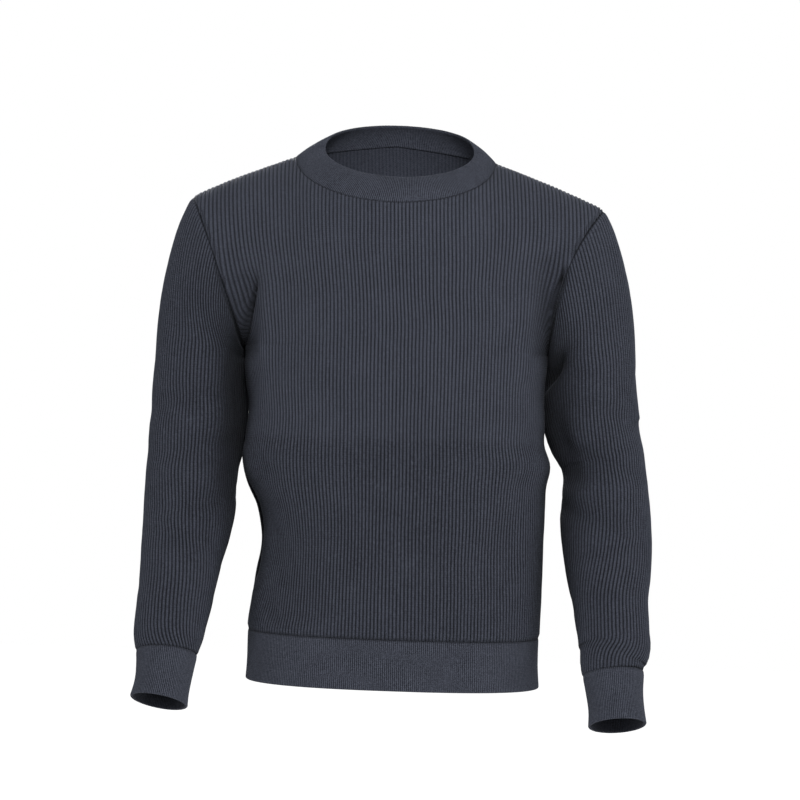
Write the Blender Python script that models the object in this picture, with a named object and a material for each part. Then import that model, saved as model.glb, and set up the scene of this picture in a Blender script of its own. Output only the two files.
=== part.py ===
"""Crewneck sweater of rib knit, in the hollow form it has when it is worn.

Metres, +Z up, front towards -Y, the wearer's left arm towards +X. The origin lies on the
shoulder line, midway between the two shoulders, where the wearer carries the garment.
Each cut piece is one closed wall of cloth. Its outer points carry the ribs, its inside is
plain, and neighbouring pieces end a small gap apart at their seams.
"""
import bpy
import math
import numpy as np

# Cloth
MM = 0.001
SEAM_GAP = 0.3 * MM            # clear space between two sewn pieces
WALL = 1.7 * MM                # cloth under the ribs
RIB_HEIGHT = 1.3 * MM          # how far a rib stands above its grooves
BAND_WALL = 2.2 * MM           # collar, cuffs and hem are knitted tighter
BAND_RIB_HEIGHT = 0.5 * MM
PANEL_RIBS = 36                # raised ribs across the front, and across the back
SLEEVE_RIBS = 26
CUFF_RIBS = 18
INNER_STEP = 3                 # one inner point for so many outer ones on panels and bands
SLEEVE_INNER_STEP = 2
BODY_SQUARENESS = 2.5          # 2 is an ellipse, more is squarer
CURVE_SAMPLES = 240
SHARP_ANGLE = 12               # degrees, so that rib edges stay crisp
BODY_COLOUR = (0.041, 0.046, 0.060)
BAND_COLOUR = (0.050, 0.055, 0.070)
CLOTH_ROUGHNESS = 0.95

# Body below the armholes: level rings, as distances from the middle plane
BODY_COLUMNS = ("height", "left", "right", "front", "back")
BODY_RINGS = (
    (-222, 174, 180, 118, 112),
    (-262, 170, 176, 119, 109),
    (-303, 166, 179, 117, 104),
    (-347, 171, 186, 112, 99),
    (-375, 166, 184, 109, 97),
    (-403, 153, 182, 107, 96),
    (-436, 146, 181, 105, 98),
    (-490, 152, 181, 107, 107),
    (-547, 158, 180, 111, 114),
)
HEM_RINGS = (
    (-547, 158, 180, 111, 114),
    (-575, 158, 180, 112, 115),
    (-604, 159, 182, 114, 117),
)
BODY_LEAN = 0.018              # the middle line drifts to +X by this much per unit down

# Neckline, shoulders and armholes
NECK_CENTRE_X = -5 * MM
NECK_HALF_WIDTH = 115 * MM
NECK_FRONT_DEPTH = 97 * MM
NECK_FRONT_DROP = 54 * MM
NECK_BACK_DEPTH = 72 * MM
NECK_BACK_RISE = 24 * MM
NECK_SHARE = 0.5               # share of a panel's columns that end in the neckline
NECK_FAN = 0.4                 # how much the ribs spread towards the neckline
NECK_RIDGE = 20 * MM           # the cloth climbs behind the shoulder seam, close to the neck
RELAX_ROUNDS = 14              # how strongly the rows under the shoulders are evened out
SHOULDER_X = 237 * MM
SHOULDER_DROP = 50 * MM
SHOULDER_BOW = 0.2
ARMHOLE_FRONT = 68 * MM        # how far the armhole reaches to the front of its chord
ARMHOLE_BACK = 62 * MM
ARMHOLE_GAP = 0.5 * MM         # the two curved edges have different facets, so it is wider
FRONT_BOW = {-1: 3 * MM, 1: 17 * MM}  # how far the seam bows into the front, by hand
BACK_BOW = {-1: 6 * MM, 1: 6 * MM}
UPPER_ROWS = 8                 # rows of cloth between armpit level and shoulder seam
EDGE_START = 0.62              # columns beyond this share swing towards the armhole
CHEST_ARM = 58 * MM            # upright arm of the columns' curves at armpit level
SEAM_REACH = 84 * MM           # how far the curves reach out under the shoulder seam
FRONT_SEAM_DROP = 28 * MM      # and how far they drop there
BACK_SEAM_DROP = 14 * MM
FRONT_NECK_ARM = (12 * MM, 52 * MM)   # reach and drop at the middle of the neckline
BACK_NECK_ARM = (26 * MM, 44 * MM)
UNDERARM_FADE = 30 * MM        # the ribs flatten this near to the underarm, where walls meet
SEAM_FADE = 14 * MM            # and this near to the armhole seam on the sleeve

# Collar band
COLLAR_TOP_HALF_WIDTH = 86 * MM
COLLAR_TOP_CENTRE_Y = -8 * MM
COLLAR_TOP_FRONT = 74 * MM
COLLAR_TOP_BACK = 69 * MM
COLLAR_TOP_HEIGHT = 12 * MM
COLLAR_TOP_FRONT_DROP = 37 * MM
COLLAR_TOP_BACK_RISE = 35 * MM
COLLAR_TOP_BACK_POWER = 0.8    # below 1 the band's upper edge climbs early behind the sides
COLLAR_TOP_CENTRE_X = -1 * MM
COLLAR_ROLL = 3 * MM           # how far the band bows out between its two edges
COLLAR_ROWS = 3
COLLAR_GAP = 0.5 * MM          # the neckline bends sharply at the shoulders, so it is wider

# Sleeves: rings square to the arm's path, one row for each
SLEEVE_COLUMNS = ("height", "out", "forward", "half_width", "half_depth")
RIGHT_ARM_RINGS = (
    (-240, 223.5, -3, 52.5, 63),
    (-270, 223.5, -6, 55, 62),
    (-305, 223, -8, 57, 60),
    (-335, 225.5, -8, 56, 59),
    (-361, 228.5, -6, 53.5, 58),
    (-403, 229.5, 4, 53.5, 56),
    (-436, 232, 16, 51, 54),
    (-470, 236, 28, 46.5, 49),
    (-504, 238.5, 41, 44, 46),
    (-537, 243, 55, 41, 44),
    (-558, 245, 63, 39, 42),
    (-574, 245.5, 68, 35, 38),
)
RIGHT_CUFF_RINGS = (
    (-574, 245.5, 68, 35, 38),
    (-592, 246.5, 75, 32.5, 36.5),
    (-610, 248.5, 81, 31.5, 36),
    (-627, 251, 87, 33, 37),
)
LEFT_ARM_RINGS = (
    (-240, 229, -3, 52, 63),
    (-270, 230.5, -6, 54.5, 62),
    (-305, 234.5, -8, 56, 60),
    (-325, 241, -8, 52.5, 59),
    (-347, 247.5, -7, 49.5, 58),
    (-403, 251.5, 4, 52.5, 56),
    (-436, 254, 16, 52, 54),
    (-470, 256, 28, 48.5, 50),
    (-504, 258, 41, 43.5, 46),
    (-537, 262, 55, 41, 44),
    (-553, 263, 61, 40.5, 43),
    (-567, 260.5, 66, 36.5, 40),
    (-580, 262, 70, 35, 38),
)
LEFT_CUFF_RINGS = (
    (-580, 262, 70, 35, 38),
    (-599, 263.5, 77, 32.5, 36.5),
    (-617, 265.5, 83, 31.5, 36),
    (-636, 267, 90, 33, 37),
)
CAP_ROWS = 6                   # rows of cloth from the armhole to the first arm ring
CAP_TOP_ARM = (25 * MM, -40 * MM)
CAP_UNDER_PINCH = 0.12         # the cap's curves lean in under the arm by this share
CAP_UNDER_DROP = 0.30          # and leave the armhole downwards for this share of their length
CAP_END_ARM = 0.36             # share of their length that is already in line with the arm

# Large soft folds. A negative depth is a trough
FOLD_COLUMNS = ("from_x", "from_z", "to_x", "to_z", "half_width", "depth")
FRONT_FOLDS = (
    (-168, -120, -160, -215, 13, -5),
    (-143, -150, -140, -235, 15, 2.5),
    (172, -110, 163, -215, 14, -5),
    (147, -140, 143, -235, 16, 2.5),
    (-150, -395, -90, -520, 22, -4),
    (-120, -360, -60, -450, 24, 2.5),
    (165, -390, 110, -470, 22, -2.5),
)
BACK_FOLDS = (
    (-165, -110, -150, -230, 15, -5),
    (165, -110, 152, -230, 15, -5),
    (-120, -330, 40, -365, 22, -4),
    (-60, -390, 120, -420, 24, -4.5),
    (-110, -455, 60, -470, 22, -3),
)
ARM_FOLD_COLUMNS = ("height", "slope", "around", "half_around", "half_height", "depth")
ARM_FOLDS = (
    (-285, 0.7, 75, 60, 14, -4),
    (-335, 0.6, 120, 70, 13, -4),
    (-372, -0.3, 100, 60, 12, 2.5),
    (-400, 0.4, 120, 75, 12, -4.5),
    (-440, -0.4, 90, 60, 12, -3),
    (-350, 0.3, 270, 60, 15, -3),
    (-500, 0.3, 250, 70, 13, -3),
)


def columns(names, rows):
    """Turn a table of millimetre rows into one array in metres for each named column."""
    values = np.array(rows, dtype=float) * MM
    return {name: values[:, index] for index, name in enumerate(names)}


def unit(vectors):
    """Scale vectors to length one."""
    lengths = np.linalg.norm(vectors, axis=-1, keepdims=True)
    return vectors / np.maximum(lengths, 1e-9)


def distance(points, target):
    """Distance of each point from a target, or from its own target."""
    return np.linalg.norm(points - target, axis=-1)


def evenly(points, fractions):
    """Read points at even shares of a curve's own length."""
    steps = np.linalg.norm(np.diff(points, axis=0), axis=1)
    run = np.concatenate(([0.0], np.cumsum(steps))) / steps.sum()
    return np.stack([np.interp(fractions, run, points[:, axis])
                     for axis in range(points.shape[1])], axis=1)


def quarter(reach, depth, fractions):
    """A squared quarter ring from the middle (0, depth) to the side (reach, 0)."""
    turn = np.linspace(0.0, math.pi / 2, CURVE_SAMPLES)
    power = 2.0 / BODY_SQUARENESS
    curve = np.stack([reach * np.sin(turn) ** power, depth * np.cos(turn) ** power], axis=1)
    return evenly(curve, fractions)


def body_row(height, left, right, depth, side):
    """One level row of a body panel. side is -1 for the front and 1 for the back."""
    middle = -height * BODY_LEAN
    shares = np.linspace(0.0, 1.0, PANEL_RIBS + 1)
    trim = RIB_HEIGHT
    to_right = quarter(right - middle - trim, depth - trim, shares)
    to_left = quarter(left + middle - trim, depth - trim, shares)
    x = np.concatenate((middle - to_left[:0:-1, 0], middle + to_right[:, 0]))
    y = side * np.concatenate((to_left[:0:-1, 1], to_right[:, 1]))
    return np.stack([x, y, np.full_like(x, height)], axis=1)


def armhole(hand):
    """Shoulder tip, underarm point and their middle. hand is -1 at -X and 1 at +X."""
    body = columns(BODY_COLUMNS, BODY_RINGS)
    reach = body["left"][0] if hand < 0 else body["right"][0]
    tip = np.array([hand * SHOULDER_X, 0.0, -SHOULDER_DROP])
    under = np.array([hand * (reach - RIB_HEIGHT), 0.0, body["height"][0]])
    return tip, under, (tip + under) / 2


def armhole_normal(hand):
    """Direction square to the armhole's plane, towards the sleeve."""
    tip, under, _ = armhole(hand)
    along = unit(tip - under)
    return np.array([hand * abs(along[2]), 0.0, -abs(along[0])])


def armhole_edge(hand, side, turns):
    """Points of one armhole half from the underarm (turn 0) to the shoulder tip (turn pi)."""
    _, under, centre = armhole(hand)
    reach = ARMHOLE_FRONT if side < 0 else ARMHOLE_BACK
    bulge = np.array([0.0, side * reach, 0.0])
    return (centre + np.outer(np.cos(turns), under - centre) + np.outer(np.sin(turns), bulge)
            + armhole_bow(hand, side, turns))


def armhole_bow(hand, side, turns):
    """How far points of the armhole stray from their flat ellipse, into the body."""
    depth = (FRONT_BOW if side < 0 else BACK_BOW)[hand]
    return -np.outer(depth * np.sin(turns) ** 2, armhole_normal(hand))


def top_edge(side):
    """The panel's upper edge: neckline in the middle, shoulder seams at both ends."""
    share = np.linspace(-1.0, 1.0, 2 * PANEL_RIBS + 1)
    hand = np.sign(share)
    along_neck = np.clip(np.abs(share) / NECK_SHARE, 0.0, 1.0)
    turn = (1 - NECK_FAN) * np.arcsin(along_neck) + NECK_FAN * along_neck * math.pi / 2
    along_shoulder = np.clip((np.abs(share) - NECK_SHARE) / (1 - NECK_SHARE), 0.0, 1.0)
    neck_x = NECK_CENTRE_X + hand * NECK_HALF_WIDTH * np.sin(turn)
    reach = NECK_FRONT_DEPTH if side < 0 else NECK_BACK_DEPTH
    x = neck_x + (hand * SHOULDER_X - neck_x) * along_shoulder
    y = side * reach * np.cos(turn)
    fall = (1 - SHOULDER_BOW) * along_shoulder + SHOULDER_BOW * along_shoulder ** 2
    if side < 0:
        lift = -NECK_FRONT_DROP * np.cos(turn)
    else:
        lift = NECK_BACK_RISE * (np.cos(turn) + 1 - np.sin(turn)) / 2
    z = lift * (along_shoulder == 0) - SHOULDER_DROP * fall
    return np.stack([x, y, z], axis=1), np.cos(turn), along_shoulder


def relax(row, rounds):
    """Even out a row of points, its two ends kept."""
    for _ in range(rounds):
        row = np.concatenate((row[:1], (row[:-2] + 2 * row[1:-1] + row[2:]) / 4, row[-1:]))
    return row


def row_shares():
    """Where the rows above the armholes lie along their columns, closer at both ends."""
    even = np.linspace(0.0, 1.0, UPPER_ROWS + 1)
    return (even + (1 - np.cos(math.pi * even)) / 2) / 2


def upper_rows(start, side):
    """Rows from armpit level to the upper edge, each column a cubic curve between the two.

    Its two arms stand upright in the middle and swing to the armhole's depth at the edges.
    """
    share = np.abs(np.linspace(-1.0, 1.0, 2 * PANEL_RIBS + 1))
    end, neck, shoulder = top_edge(side)
    edge = np.clip((share - EDGE_START) / (1 - EDGE_START), 0.0, 1.0) ** 2
    reach = (ARMHOLE_FRONT if side < 0 else ARMHOLE_BACK) * 4 / 3
    rise = CHEST_ARM * (1 - edge)
    first = np.stack([0 * share, side * reach * edge, rise], axis=1)
    seam_reach = SEAM_REACH + (reach - SEAM_REACH) * shoulder
    near_neck = np.clip(1 - 2 * shoulder, 0.0, 1.0) ** 2
    seam_drop = (FRONT_SEAM_DROP if side < 0 else BACK_SEAM_DROP) * (1 - shoulder)
    if side > 0:
        seam_drop = seam_drop - NECK_RIDGE * near_neck
    neck_reach, neck_drop = FRONT_NECK_ARM if side < 0 else BACK_NECK_ARM
    last_y = side * (seam_reach + (neck_reach - seam_reach) * neck)
    last_z = -(seam_drop + (neck_drop - seam_drop) * neck)
    last = np.stack([0 * share, last_y, last_z], axis=1)
    hands = np.linspace(-1.0, 1.0, 2 * PANEL_RIBS + 1) > 0
    rows = []
    for t in row_shares()[1:]:
        turn = np.arccos(1 - 2 * (3 * t ** 2 - 2 * t ** 3))
        bows = [armhole_bow(hand, side, np.array([turn]))[0] for hand in (-1, 1)]
        row = ((1 - t) ** 3 * start + 3 * t * (1 - t) ** 2 * (start + first)
               + 3 * t ** 2 * (1 - t) * (end + last) + t ** 3 * end)
        row = row + edge[:, None] * np.where(hands[:, None], bows[1], bows[0])
        rows.append(relax(row, int(RELAX_ROUNDS * (1 - t) ** 0.5)))
    return np.array(rows)


def normals(grid, closed):
    """Unit normals of a grid of points from the steps along its rows and columns."""
    if closed:
        along = np.roll(grid, -1, axis=1) - np.roll(grid, 1, axis=1)
    else:
        along = np.gradient(grid, axis=1)
    return unit(np.cross(along, np.gradient(grid, axis=0)))


def fold_lift(points, table):
    """How far each point moves out for the folds whose lines pass near it, front view."""
    rows = columns(FOLD_COLUMNS, table)
    lift = np.zeros(points.shape[:-1])
    for index in range(len(table)):
        start = np.array([rows["from_x"][index], rows["from_z"][index]])
        run = np.array([rows["to_x"][index], rows["to_z"][index]]) - start
        flat = points[..., [0, 2]] - start
        share = flat @ run / (run @ run)
        away = np.linalg.norm(flat - np.clip(share, 0, 1)[..., None] * run, axis=-1)
        lift += rows["depth"][index] * np.exp(-(away / rows["half_width"][index]) ** 2)
    return lift


def ribs(row_count, column_count, height):
    """Rib height at each outer point: every second column stands up."""
    return height * np.outer(np.ones(row_count), np.arange(column_count) % 2)


def material(name, colour):
    """A matt cloth material of one colour."""
    cloth = bpy.data.materials.new(name)
    cloth.use_nodes = True
    shader = cloth.node_tree.nodes["Principled BSDF"]
    shader.inputs["Base Color"].default_value = (*colour, 1.0)
    shader.inputs["Roughness"].default_value = CLOTH_ROUGHNESS
    shader.inputs["Metallic"].default_value = 0.0
    return cloth


def wall(name, outer, inner, step, closed, cloth):
    """Join an outer and an inner grid of points and their edges into one closed body.

    The inner grid has one column for every `step` outer ones.
    """
    rows, count = outer.shape[:2]
    inner_count = inner.shape[1]
    vertices = np.concatenate((outer.reshape(-1, 3), inner.reshape(-1, 3)))

    def out(row, column):
        return row * count + column % count

    def ins(row, column):
        return rows * count + row * inner_count + column % inner_count

    spans = count if closed else count - 1
    inner_spans = spans // step
    faces = []
    for row in range(rows - 1):
        for column in range(spans):
            faces.append((out(row, column), out(row, column + 1),
                          out(row + 1, column + 1), out(row + 1, column)))
        for column in range(inner_spans):
            faces.append((ins(row, column), ins(row + 1, column),
                          ins(row + 1, column + 1), ins(row, column + 1)))
        if not closed:
            faces.append((out(row, 0), out(row + 1, 0), ins(row + 1, 0), ins(row, 0)))
            faces.append((out(row, spans), ins(row, inner_spans),
                          ins(row + 1, inner_spans), out(row + 1, spans)))
    for row, up in ((0, False), (rows - 1, True)):
        for column in range(inner_spans):
            first = column * step
            fan = [(ins(row, column), out(row, first + k + 1), out(row, first + k))
                   for k in range(step)]
            fan.append((ins(row, column), ins(row, column + 1), out(row, first + step)))
            faces.extend(tuple(reversed(face)) if up else face for face in fan)

    mesh = bpy.data.meshes.new(name)
    mesh.from_pydata([tuple(point) for point in vertices], [], faces)
    mesh.materials.append(cloth)
    if signed_volume(vertices, faces) < 0:
        mesh.flip_normals()
    mesh.shade_smooth()
    mesh.set_sharp_from_angle(angle=math.radians(SHARP_ANGLE))
    piece = bpy.data.objects.new(name, mesh)
    bpy.context.scene.collection.objects.link(piece)
    return piece


def signed_volume(vertices, faces):
    """Volume inside a set of faces, negative where they point inwards."""
    total = 0.0
    for face in faces:
        for k in range(1, len(face) - 1):
            a, b, c = vertices[face[0]], vertices[face[k]], vertices[face[k + 1]]
            total += np.dot(a, np.cross(b, c)) / 6
    return total


def body_panel(side):
    """Outer and inner grids of the front (-1) or back (1), from hem seam to top edge."""
    table = columns(BODY_COLUMNS, BODY_RINGS)
    depth = table["front"] if side < 0 else table["back"]
    lower = [body_row(table["height"][k], table["left"][k], table["right"][k], depth[k], side)
             for k in range(len(depth) - 1, -1, -1)]
    base = np.concatenate((np.array(lower), upper_rows(lower[-1], side)))
    lower_count = len(lower)
    outward = -side * normals(base, False)
    base = base + outward * fold_lift(base, FRONT_FOLDS if side < 0 else BACK_FOLDS)[..., None]
    share = row_shares()
    turns = np.arccos(1 - 2 * (3 * share ** 2 - 2 * share ** 3))
    inner = base - outward * WALL
    for hand, column in ((-1, 0), (1, -1)):
        edge = armhole_edge(hand, side, turns)
        base[lower_count - 1:, column] = edge
        inner[lower_count - 1:, column] = edge + WALL * unit(armhole(hand)[2] - edge)
        base[:lower_count, column, 1] = 0.0
        inner[:lower_count, column, 1] = 0.0
    raised = ribs(len(base), base.shape[1], RIB_HEIGHT)
    for hand in (-1, 1):
        raised *= np.clip(distance(base, armhole(hand)[1]) / UNDERARM_FADE, 0.0, 1.0) ** 2
    half_neck = PANEL_RIBS // 2
    raised[-1, half_neck:-half_neck] = 0.0
    outer = base + outward * raised[..., None]
    for grid in (outer, inner):
        grid[:lower_count, [0, -1], 1] = side * SEAM_GAP / 2
        grid[-1, :half_neck + 1, 1] = side * SEAM_GAP / 2
        grid[-1, -half_neck - 1:, 1] = side * SEAM_GAP / 2
        grid[0, :, 2] = table["height"][-1] + SEAM_GAP / 2
    if side > 0:
        return outer[:, ::-1], inner[:, ::-1]
    return outer, inner


def arm_frames(rings):
    """Centres of the rings and, at each, the arm's direction, outward and forward axes."""
    centres = np.stack([rings["x"], -rings["forward"], rings["height"]], axis=1)
    along = unit(np.gradient(centres, axis=0))
    out = np.zeros_like(along)
    out[:, 0] = rings["hand"]
    out = unit(out - along * np.sum(out * along, axis=1, keepdims=True))
    forward = unit(np.cross(along, out) * rings["hand"])
    forward *= -np.sign(forward[:, 1:2])
    return centres, along, out, forward


def even_ring(across, front, back, count):
    """Evenly spaced points of a ring whose front and back reach differently."""
    turn = np.linspace(0.0, 2 * math.pi, 4 * CURVE_SAMPLES)
    reach = np.where(np.sin(turn) >= 0, front, back)
    curve = np.stack([across * np.cos(turn), reach * np.sin(turn)], axis=1)
    return evenly(curve, np.linspace(0.0, 1.0, count + 1)[:-1])


def arm_rings(table, hand):
    """Named columns of an arm table with the side it is on."""
    rings = columns(SLEEVE_COLUMNS, table)
    rings["hand"] = hand
    rings["x"] = hand * rings["out"]
    return rings


def tube(rings, count, trim):
    """Rings of points square to the arm's path."""
    centres, _, out, forward = arm_frames(rings)
    rows = []
    for k in range(len(centres)):
        ring = even_ring(rings["half_width"][k] - trim, rings["half_depth"][k] - trim,
                         rings["half_depth"][k] - trim, count)
        rows.append(centres[k] + ring[:, :1] * out[k] + ring[:, 1:] * forward[k])
    return np.array(rows)


def arm_fold_lift(points, count):
    """How far each point of the arm moves out for its folds."""
    rows = np.array(ARM_FOLDS)
    names = {name: rows[:, index] for index, name in enumerate(ARM_FOLD_COLUMNS)}
    around = np.arange(count) * 360.0 / count
    lift = np.zeros(points.shape[:-1])
    for index in range(len(rows)):
        turn = (around - names["around"][index] + 180) % 360 - 180
        height = points[..., 2] / MM - names["height"][index] - names["slope"][index] * turn / 3
        near = np.exp(-(turn / names["half_around"][index]) ** 2)
        lift += (names["depth"][index] * MM * near
                 * np.exp(-(height / names["half_height"][index]) ** 2))
    return lift


def sleeve(hand, table):
    """Outer and inner grids of a sleeve, from the armhole to the cuff seam."""
    count = 2 * SLEEVE_RIBS
    rings = arm_rings(table, hand)
    arm = tube(rings, count, RIB_HEIGHT)
    tip, under, centre = armhole(hand)
    across = np.linalg.norm(tip - centre)
    ring = even_ring(across, ARMHOLE_FRONT, ARMHOLE_BACK, count)
    start = (centre + ring[:, :1] * unit(tip - centre)
             + ring[:, 1:] * np.array([0.0, -1.0, 0.0]))
    turns = np.arccos(np.clip(ring[:, 0] / across, -1.0, 1.0))
    start += np.where(ring[:, 1:] > 0, armhole_bow(hand, -1, turns), armhole_bow(hand, 1, turns))
    start_inner = start + WALL * unit(centre - start)
    step = armhole_normal(hand) * ARMHOLE_GAP
    top = (1 + ring[:, 0] / across) / 2
    chord = np.linalg.norm(arm[0] - start, axis=1)
    low = 1 - top ** 2
    first = np.stack([hand * CAP_TOP_ARM[0] * top ** 2, -CAP_UNDER_PINCH * ring[:, 1] * low,
                      CAP_TOP_ARM[1] * top ** 2 - CAP_UNDER_DROP * chord * low], axis=1)
    last = np.stack([0 * chord, 0 * chord, CAP_END_ARM * chord], axis=1)
    cap = []
    for t in np.linspace(0.0, 1.0, CAP_ROWS + 1)[:-1]:
        cap.append((1 - t) ** 3 * start + 3 * t * (1 - t) ** 2 * (start + first)
                   + 3 * t ** 2 * (1 - t) * (arm[0] + last) + t ** 3 * arm[0])
    base = np.concatenate((np.array(cap), arm))
    outward = normals(base, True)
    middle = base.mean(axis=1, keepdims=True)
    outward *= np.sign(np.sum(outward * (base - middle), axis=-1, keepdims=True).mean())
    base = base + outward * arm_fold_lift(base, count)[..., None]
    raised = ribs(len(base), count, RIB_HEIGHT)
    raised *= np.clip(distance(base, start) / SEAM_FADE, 0.0, 1.0)
    raised *= np.clip(distance(base, under) / UNDERARM_FADE, 0.0, 1.0) ** 2
    outer = base + outward * raised[..., None]
    inner = base - outward * WALL
    outer[0] = start + step
    inner[0] = start_inner + step
    outer[-1], inner[-1] = tube_end(rings, count, RIB_HEIGHT, WALL, -SEAM_GAP / 2)
    return outer, inner[:, ::SLEEVE_INNER_STEP]


def tube_end(rings, count, rib_height, thickness, shift):
    """Outer and inner points of an arm's last ring, flat in the plane square to its path."""
    centres, along, out, forward = arm_frames(rings)
    width, depth = rings["half_width"][-1], rings["half_depth"][-1]
    ring = even_ring(width - rib_height, depth - rib_height, depth - rib_height, count)
    rows = []
    for lift in (ribs(1, count, rib_height)[0], -thickness):
        flat = ring + unit(ring) * np.broadcast_to(lift, (count,))[:, None]
        rows.append(centres[-1] + along[-1] * shift
                    + flat[:, :1] * out[-1] + flat[:, 1:] * forward[-1])
    return rows


def cuff(hand, arm_table, table):
    """Outer and inner grids of a cuff. Its first ring lies in the sleeve's last plane."""
    count = 2 * CUFF_RIBS
    rings = arm_rings(table, hand)
    base = tube(rings, count, BAND_RIB_HEIGHT)
    middle = base.mean(axis=1, keepdims=True)
    outward = normals(base, True)
    outward *= np.sign(np.sum(outward * (base - middle), axis=-1, keepdims=True).mean())
    outer = base + outward * ribs(len(base), count, BAND_RIB_HEIGHT)[..., None]
    inner = base - outward * BAND_WALL
    arm = arm_rings(arm_table, hand)
    outer[0], inner[0] = tube_end(arm, count, BAND_RIB_HEIGHT, BAND_WALL, SEAM_GAP / 2)
    outer[-1], inner[-1] = tube_end(rings, count, BAND_RIB_HEIGHT, BAND_WALL, 0.0)
    return outer, inner[:, ::INNER_STEP]


def hem_band():
    """Outer and inner grids of the band round the lower edge."""
    table = columns(BODY_COLUMNS, HEM_RINGS)
    rows = []
    for k in range(len(HEM_RINGS)):
        size = [table[name][k] for name in ("height", "left", "right")]
        front = body_row(*size, table["front"][k], -1)
        back = body_row(*size, table["back"][k], 1)
        rows.append(np.concatenate((front, back[-2:0:-1])))
    base = np.array(rows)
    outward = normals(base, True)
    middle = base.mean(axis=1, keepdims=True)
    outward *= np.sign(np.sum(outward * (base - middle), axis=-1).mean())
    outward[..., 2] = 0.0
    outward = unit(outward)
    outer = base + outward * ribs(len(base), base.shape[1], BAND_RIB_HEIGHT)[..., None]
    inner = base - outward * BAND_WALL
    outer[0, :, 2] -= SEAM_GAP / 2
    inner[0, :, 2] -= SEAM_GAP / 2
    return outer, inner[:, ::INNER_STEP]


def collar(front, back):
    """Outer and inner grids of the neckband, grown from the panels' own neckline points."""
    half = PANEL_RIBS // 2
    neck = slice(half, -half)

    def ring(kind):
        fore, aft = front[kind][-1, neck], back[kind][-1, neck]
        joined = np.concatenate((fore, aft[1:-1]))
        joined[0] = (fore[0] + aft[-1]) / 2
        joined[len(fore) - 1] = (fore[-1] + aft[0]) / 2
        return joined

    low, low_inner = ring(0), ring(1)
    flat = (low[:, 0] - NECK_CENTRE_X) / NECK_HALF_WIDTH
    side = np.where(np.arange(len(low)) < len(low) / 2, -1.0, 1.0)
    across = np.clip(flat, -1.0, 1.0)
    deep = np.sqrt(1 - across ** 2)
    reach = np.where(side < 0, COLLAR_TOP_FRONT, COLLAR_TOP_BACK)
    lift = np.where(side < 0, COLLAR_TOP_FRONT_DROP, COLLAR_TOP_BACK_RISE)
    power = np.where(side < 0, 1.0, COLLAR_TOP_BACK_POWER)
    high = np.stack([COLLAR_TOP_CENTRE_X + COLLAR_TOP_HALF_WIDTH * across,
                     COLLAR_TOP_CENTRE_Y + side * reach * deep,
                     COLLAR_TOP_HEIGHT + side * lift * deep ** power], axis=1)
    up = unit(high - low)
    start = low + up * COLLAR_GAP
    flat_rows = np.array([start, high])
    outward = normals(flat_rows, True)[0]
    outward *= np.sign(np.sum(outward * (low - low.mean(axis=0)), axis=-1).mean())
    rows = []
    for v in np.linspace(0.0, 1.0, COLLAR_ROWS + 1):
        rows.append(start + (high - start) * v
                    + outward * (COLLAR_ROLL * 4 * v * (1 - v)))
    base = np.array(rows)
    outer = base + outward * ribs(len(base), base.shape[1], BAND_RIB_HEIGHT)[..., None]
    inner = base - outward * BAND_WALL
    inner[0] = low_inner + up * COLLAR_GAP
    return outer, inner[:, ::INNER_STEP]


def main():
    """Build every piece of the sweater."""
    for item in list(bpy.data.objects):
        bpy.data.objects.remove(item, do_unlink=True)
    body_cloth = material("rib_knit", BODY_COLOUR)
    band_cloth = material("band_knit", BAND_COLOUR)
    front = body_panel(-1)
    back = body_panel(1)
    for name, grids in (("front", front), ("back", back)):
        wall(name, grids[0], grids[1][:, ::INNER_STEP], INNER_STEP, False, body_cloth)
    arms = (("right", -1, RIGHT_ARM_RINGS, RIGHT_CUFF_RINGS),
            ("left", 1, LEFT_ARM_RINGS, LEFT_CUFF_RINGS))
    for name, hand, arm_table, cuff_table in arms:
        outer, inner = sleeve(hand, arm_table)
        wall("sleeve_" + name, outer, inner, SLEEVE_INNER_STEP, True, body_cloth)
        outer, inner = cuff(hand, arm_table, cuff_table)
        wall("cuff_" + name, outer, inner, INNER_STEP, True, band_cloth)
    outer, inner = hem_band()
    wall("hem_band", outer, inner, INNER_STEP, True, band_cloth)
    outer, inner = collar(front, back)
    wall("collar", outer, inner, INNER_STEP, True, band_cloth)


main()
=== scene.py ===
import math
import bpy
import numpy as np
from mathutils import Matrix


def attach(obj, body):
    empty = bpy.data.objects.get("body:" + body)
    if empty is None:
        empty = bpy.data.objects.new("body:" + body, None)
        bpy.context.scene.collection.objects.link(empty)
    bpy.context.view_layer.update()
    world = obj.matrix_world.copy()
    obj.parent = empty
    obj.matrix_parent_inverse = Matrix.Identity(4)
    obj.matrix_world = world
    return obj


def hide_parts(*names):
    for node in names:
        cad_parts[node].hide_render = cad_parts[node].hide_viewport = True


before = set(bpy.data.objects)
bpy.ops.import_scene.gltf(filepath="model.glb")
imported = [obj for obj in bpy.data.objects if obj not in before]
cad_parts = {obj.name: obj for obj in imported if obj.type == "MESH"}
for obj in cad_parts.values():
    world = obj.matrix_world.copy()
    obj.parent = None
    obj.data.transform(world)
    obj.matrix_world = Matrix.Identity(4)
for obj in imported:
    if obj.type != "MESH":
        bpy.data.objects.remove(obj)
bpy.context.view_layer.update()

# Lengths are millimetres until a mesh is filled. Heights are below the shoulder line.
metresPerMm = 0.001
seamGap = 0.3


# Curves and grids

def unit(vectors):
    # every vector divided by its own length
    return vectors / np.maximum(np.linalg.norm(vectors, axis=-1, keepdims=True), 1e-9)


def smoothStep(low, high, value):
    # 3t^2 - 2t^3, where t goes from 0 at low to 1 at high
    t = np.clip((value - low) / (high - low), 0.0, 1.0)
    return t * t * (3 - 2 * t)


def bell(away, halfWidth):
    # exp(-(away / halfWidth)^2), 1 in the middle
    return np.exp(-(away / halfWidth) ** 2)


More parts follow.
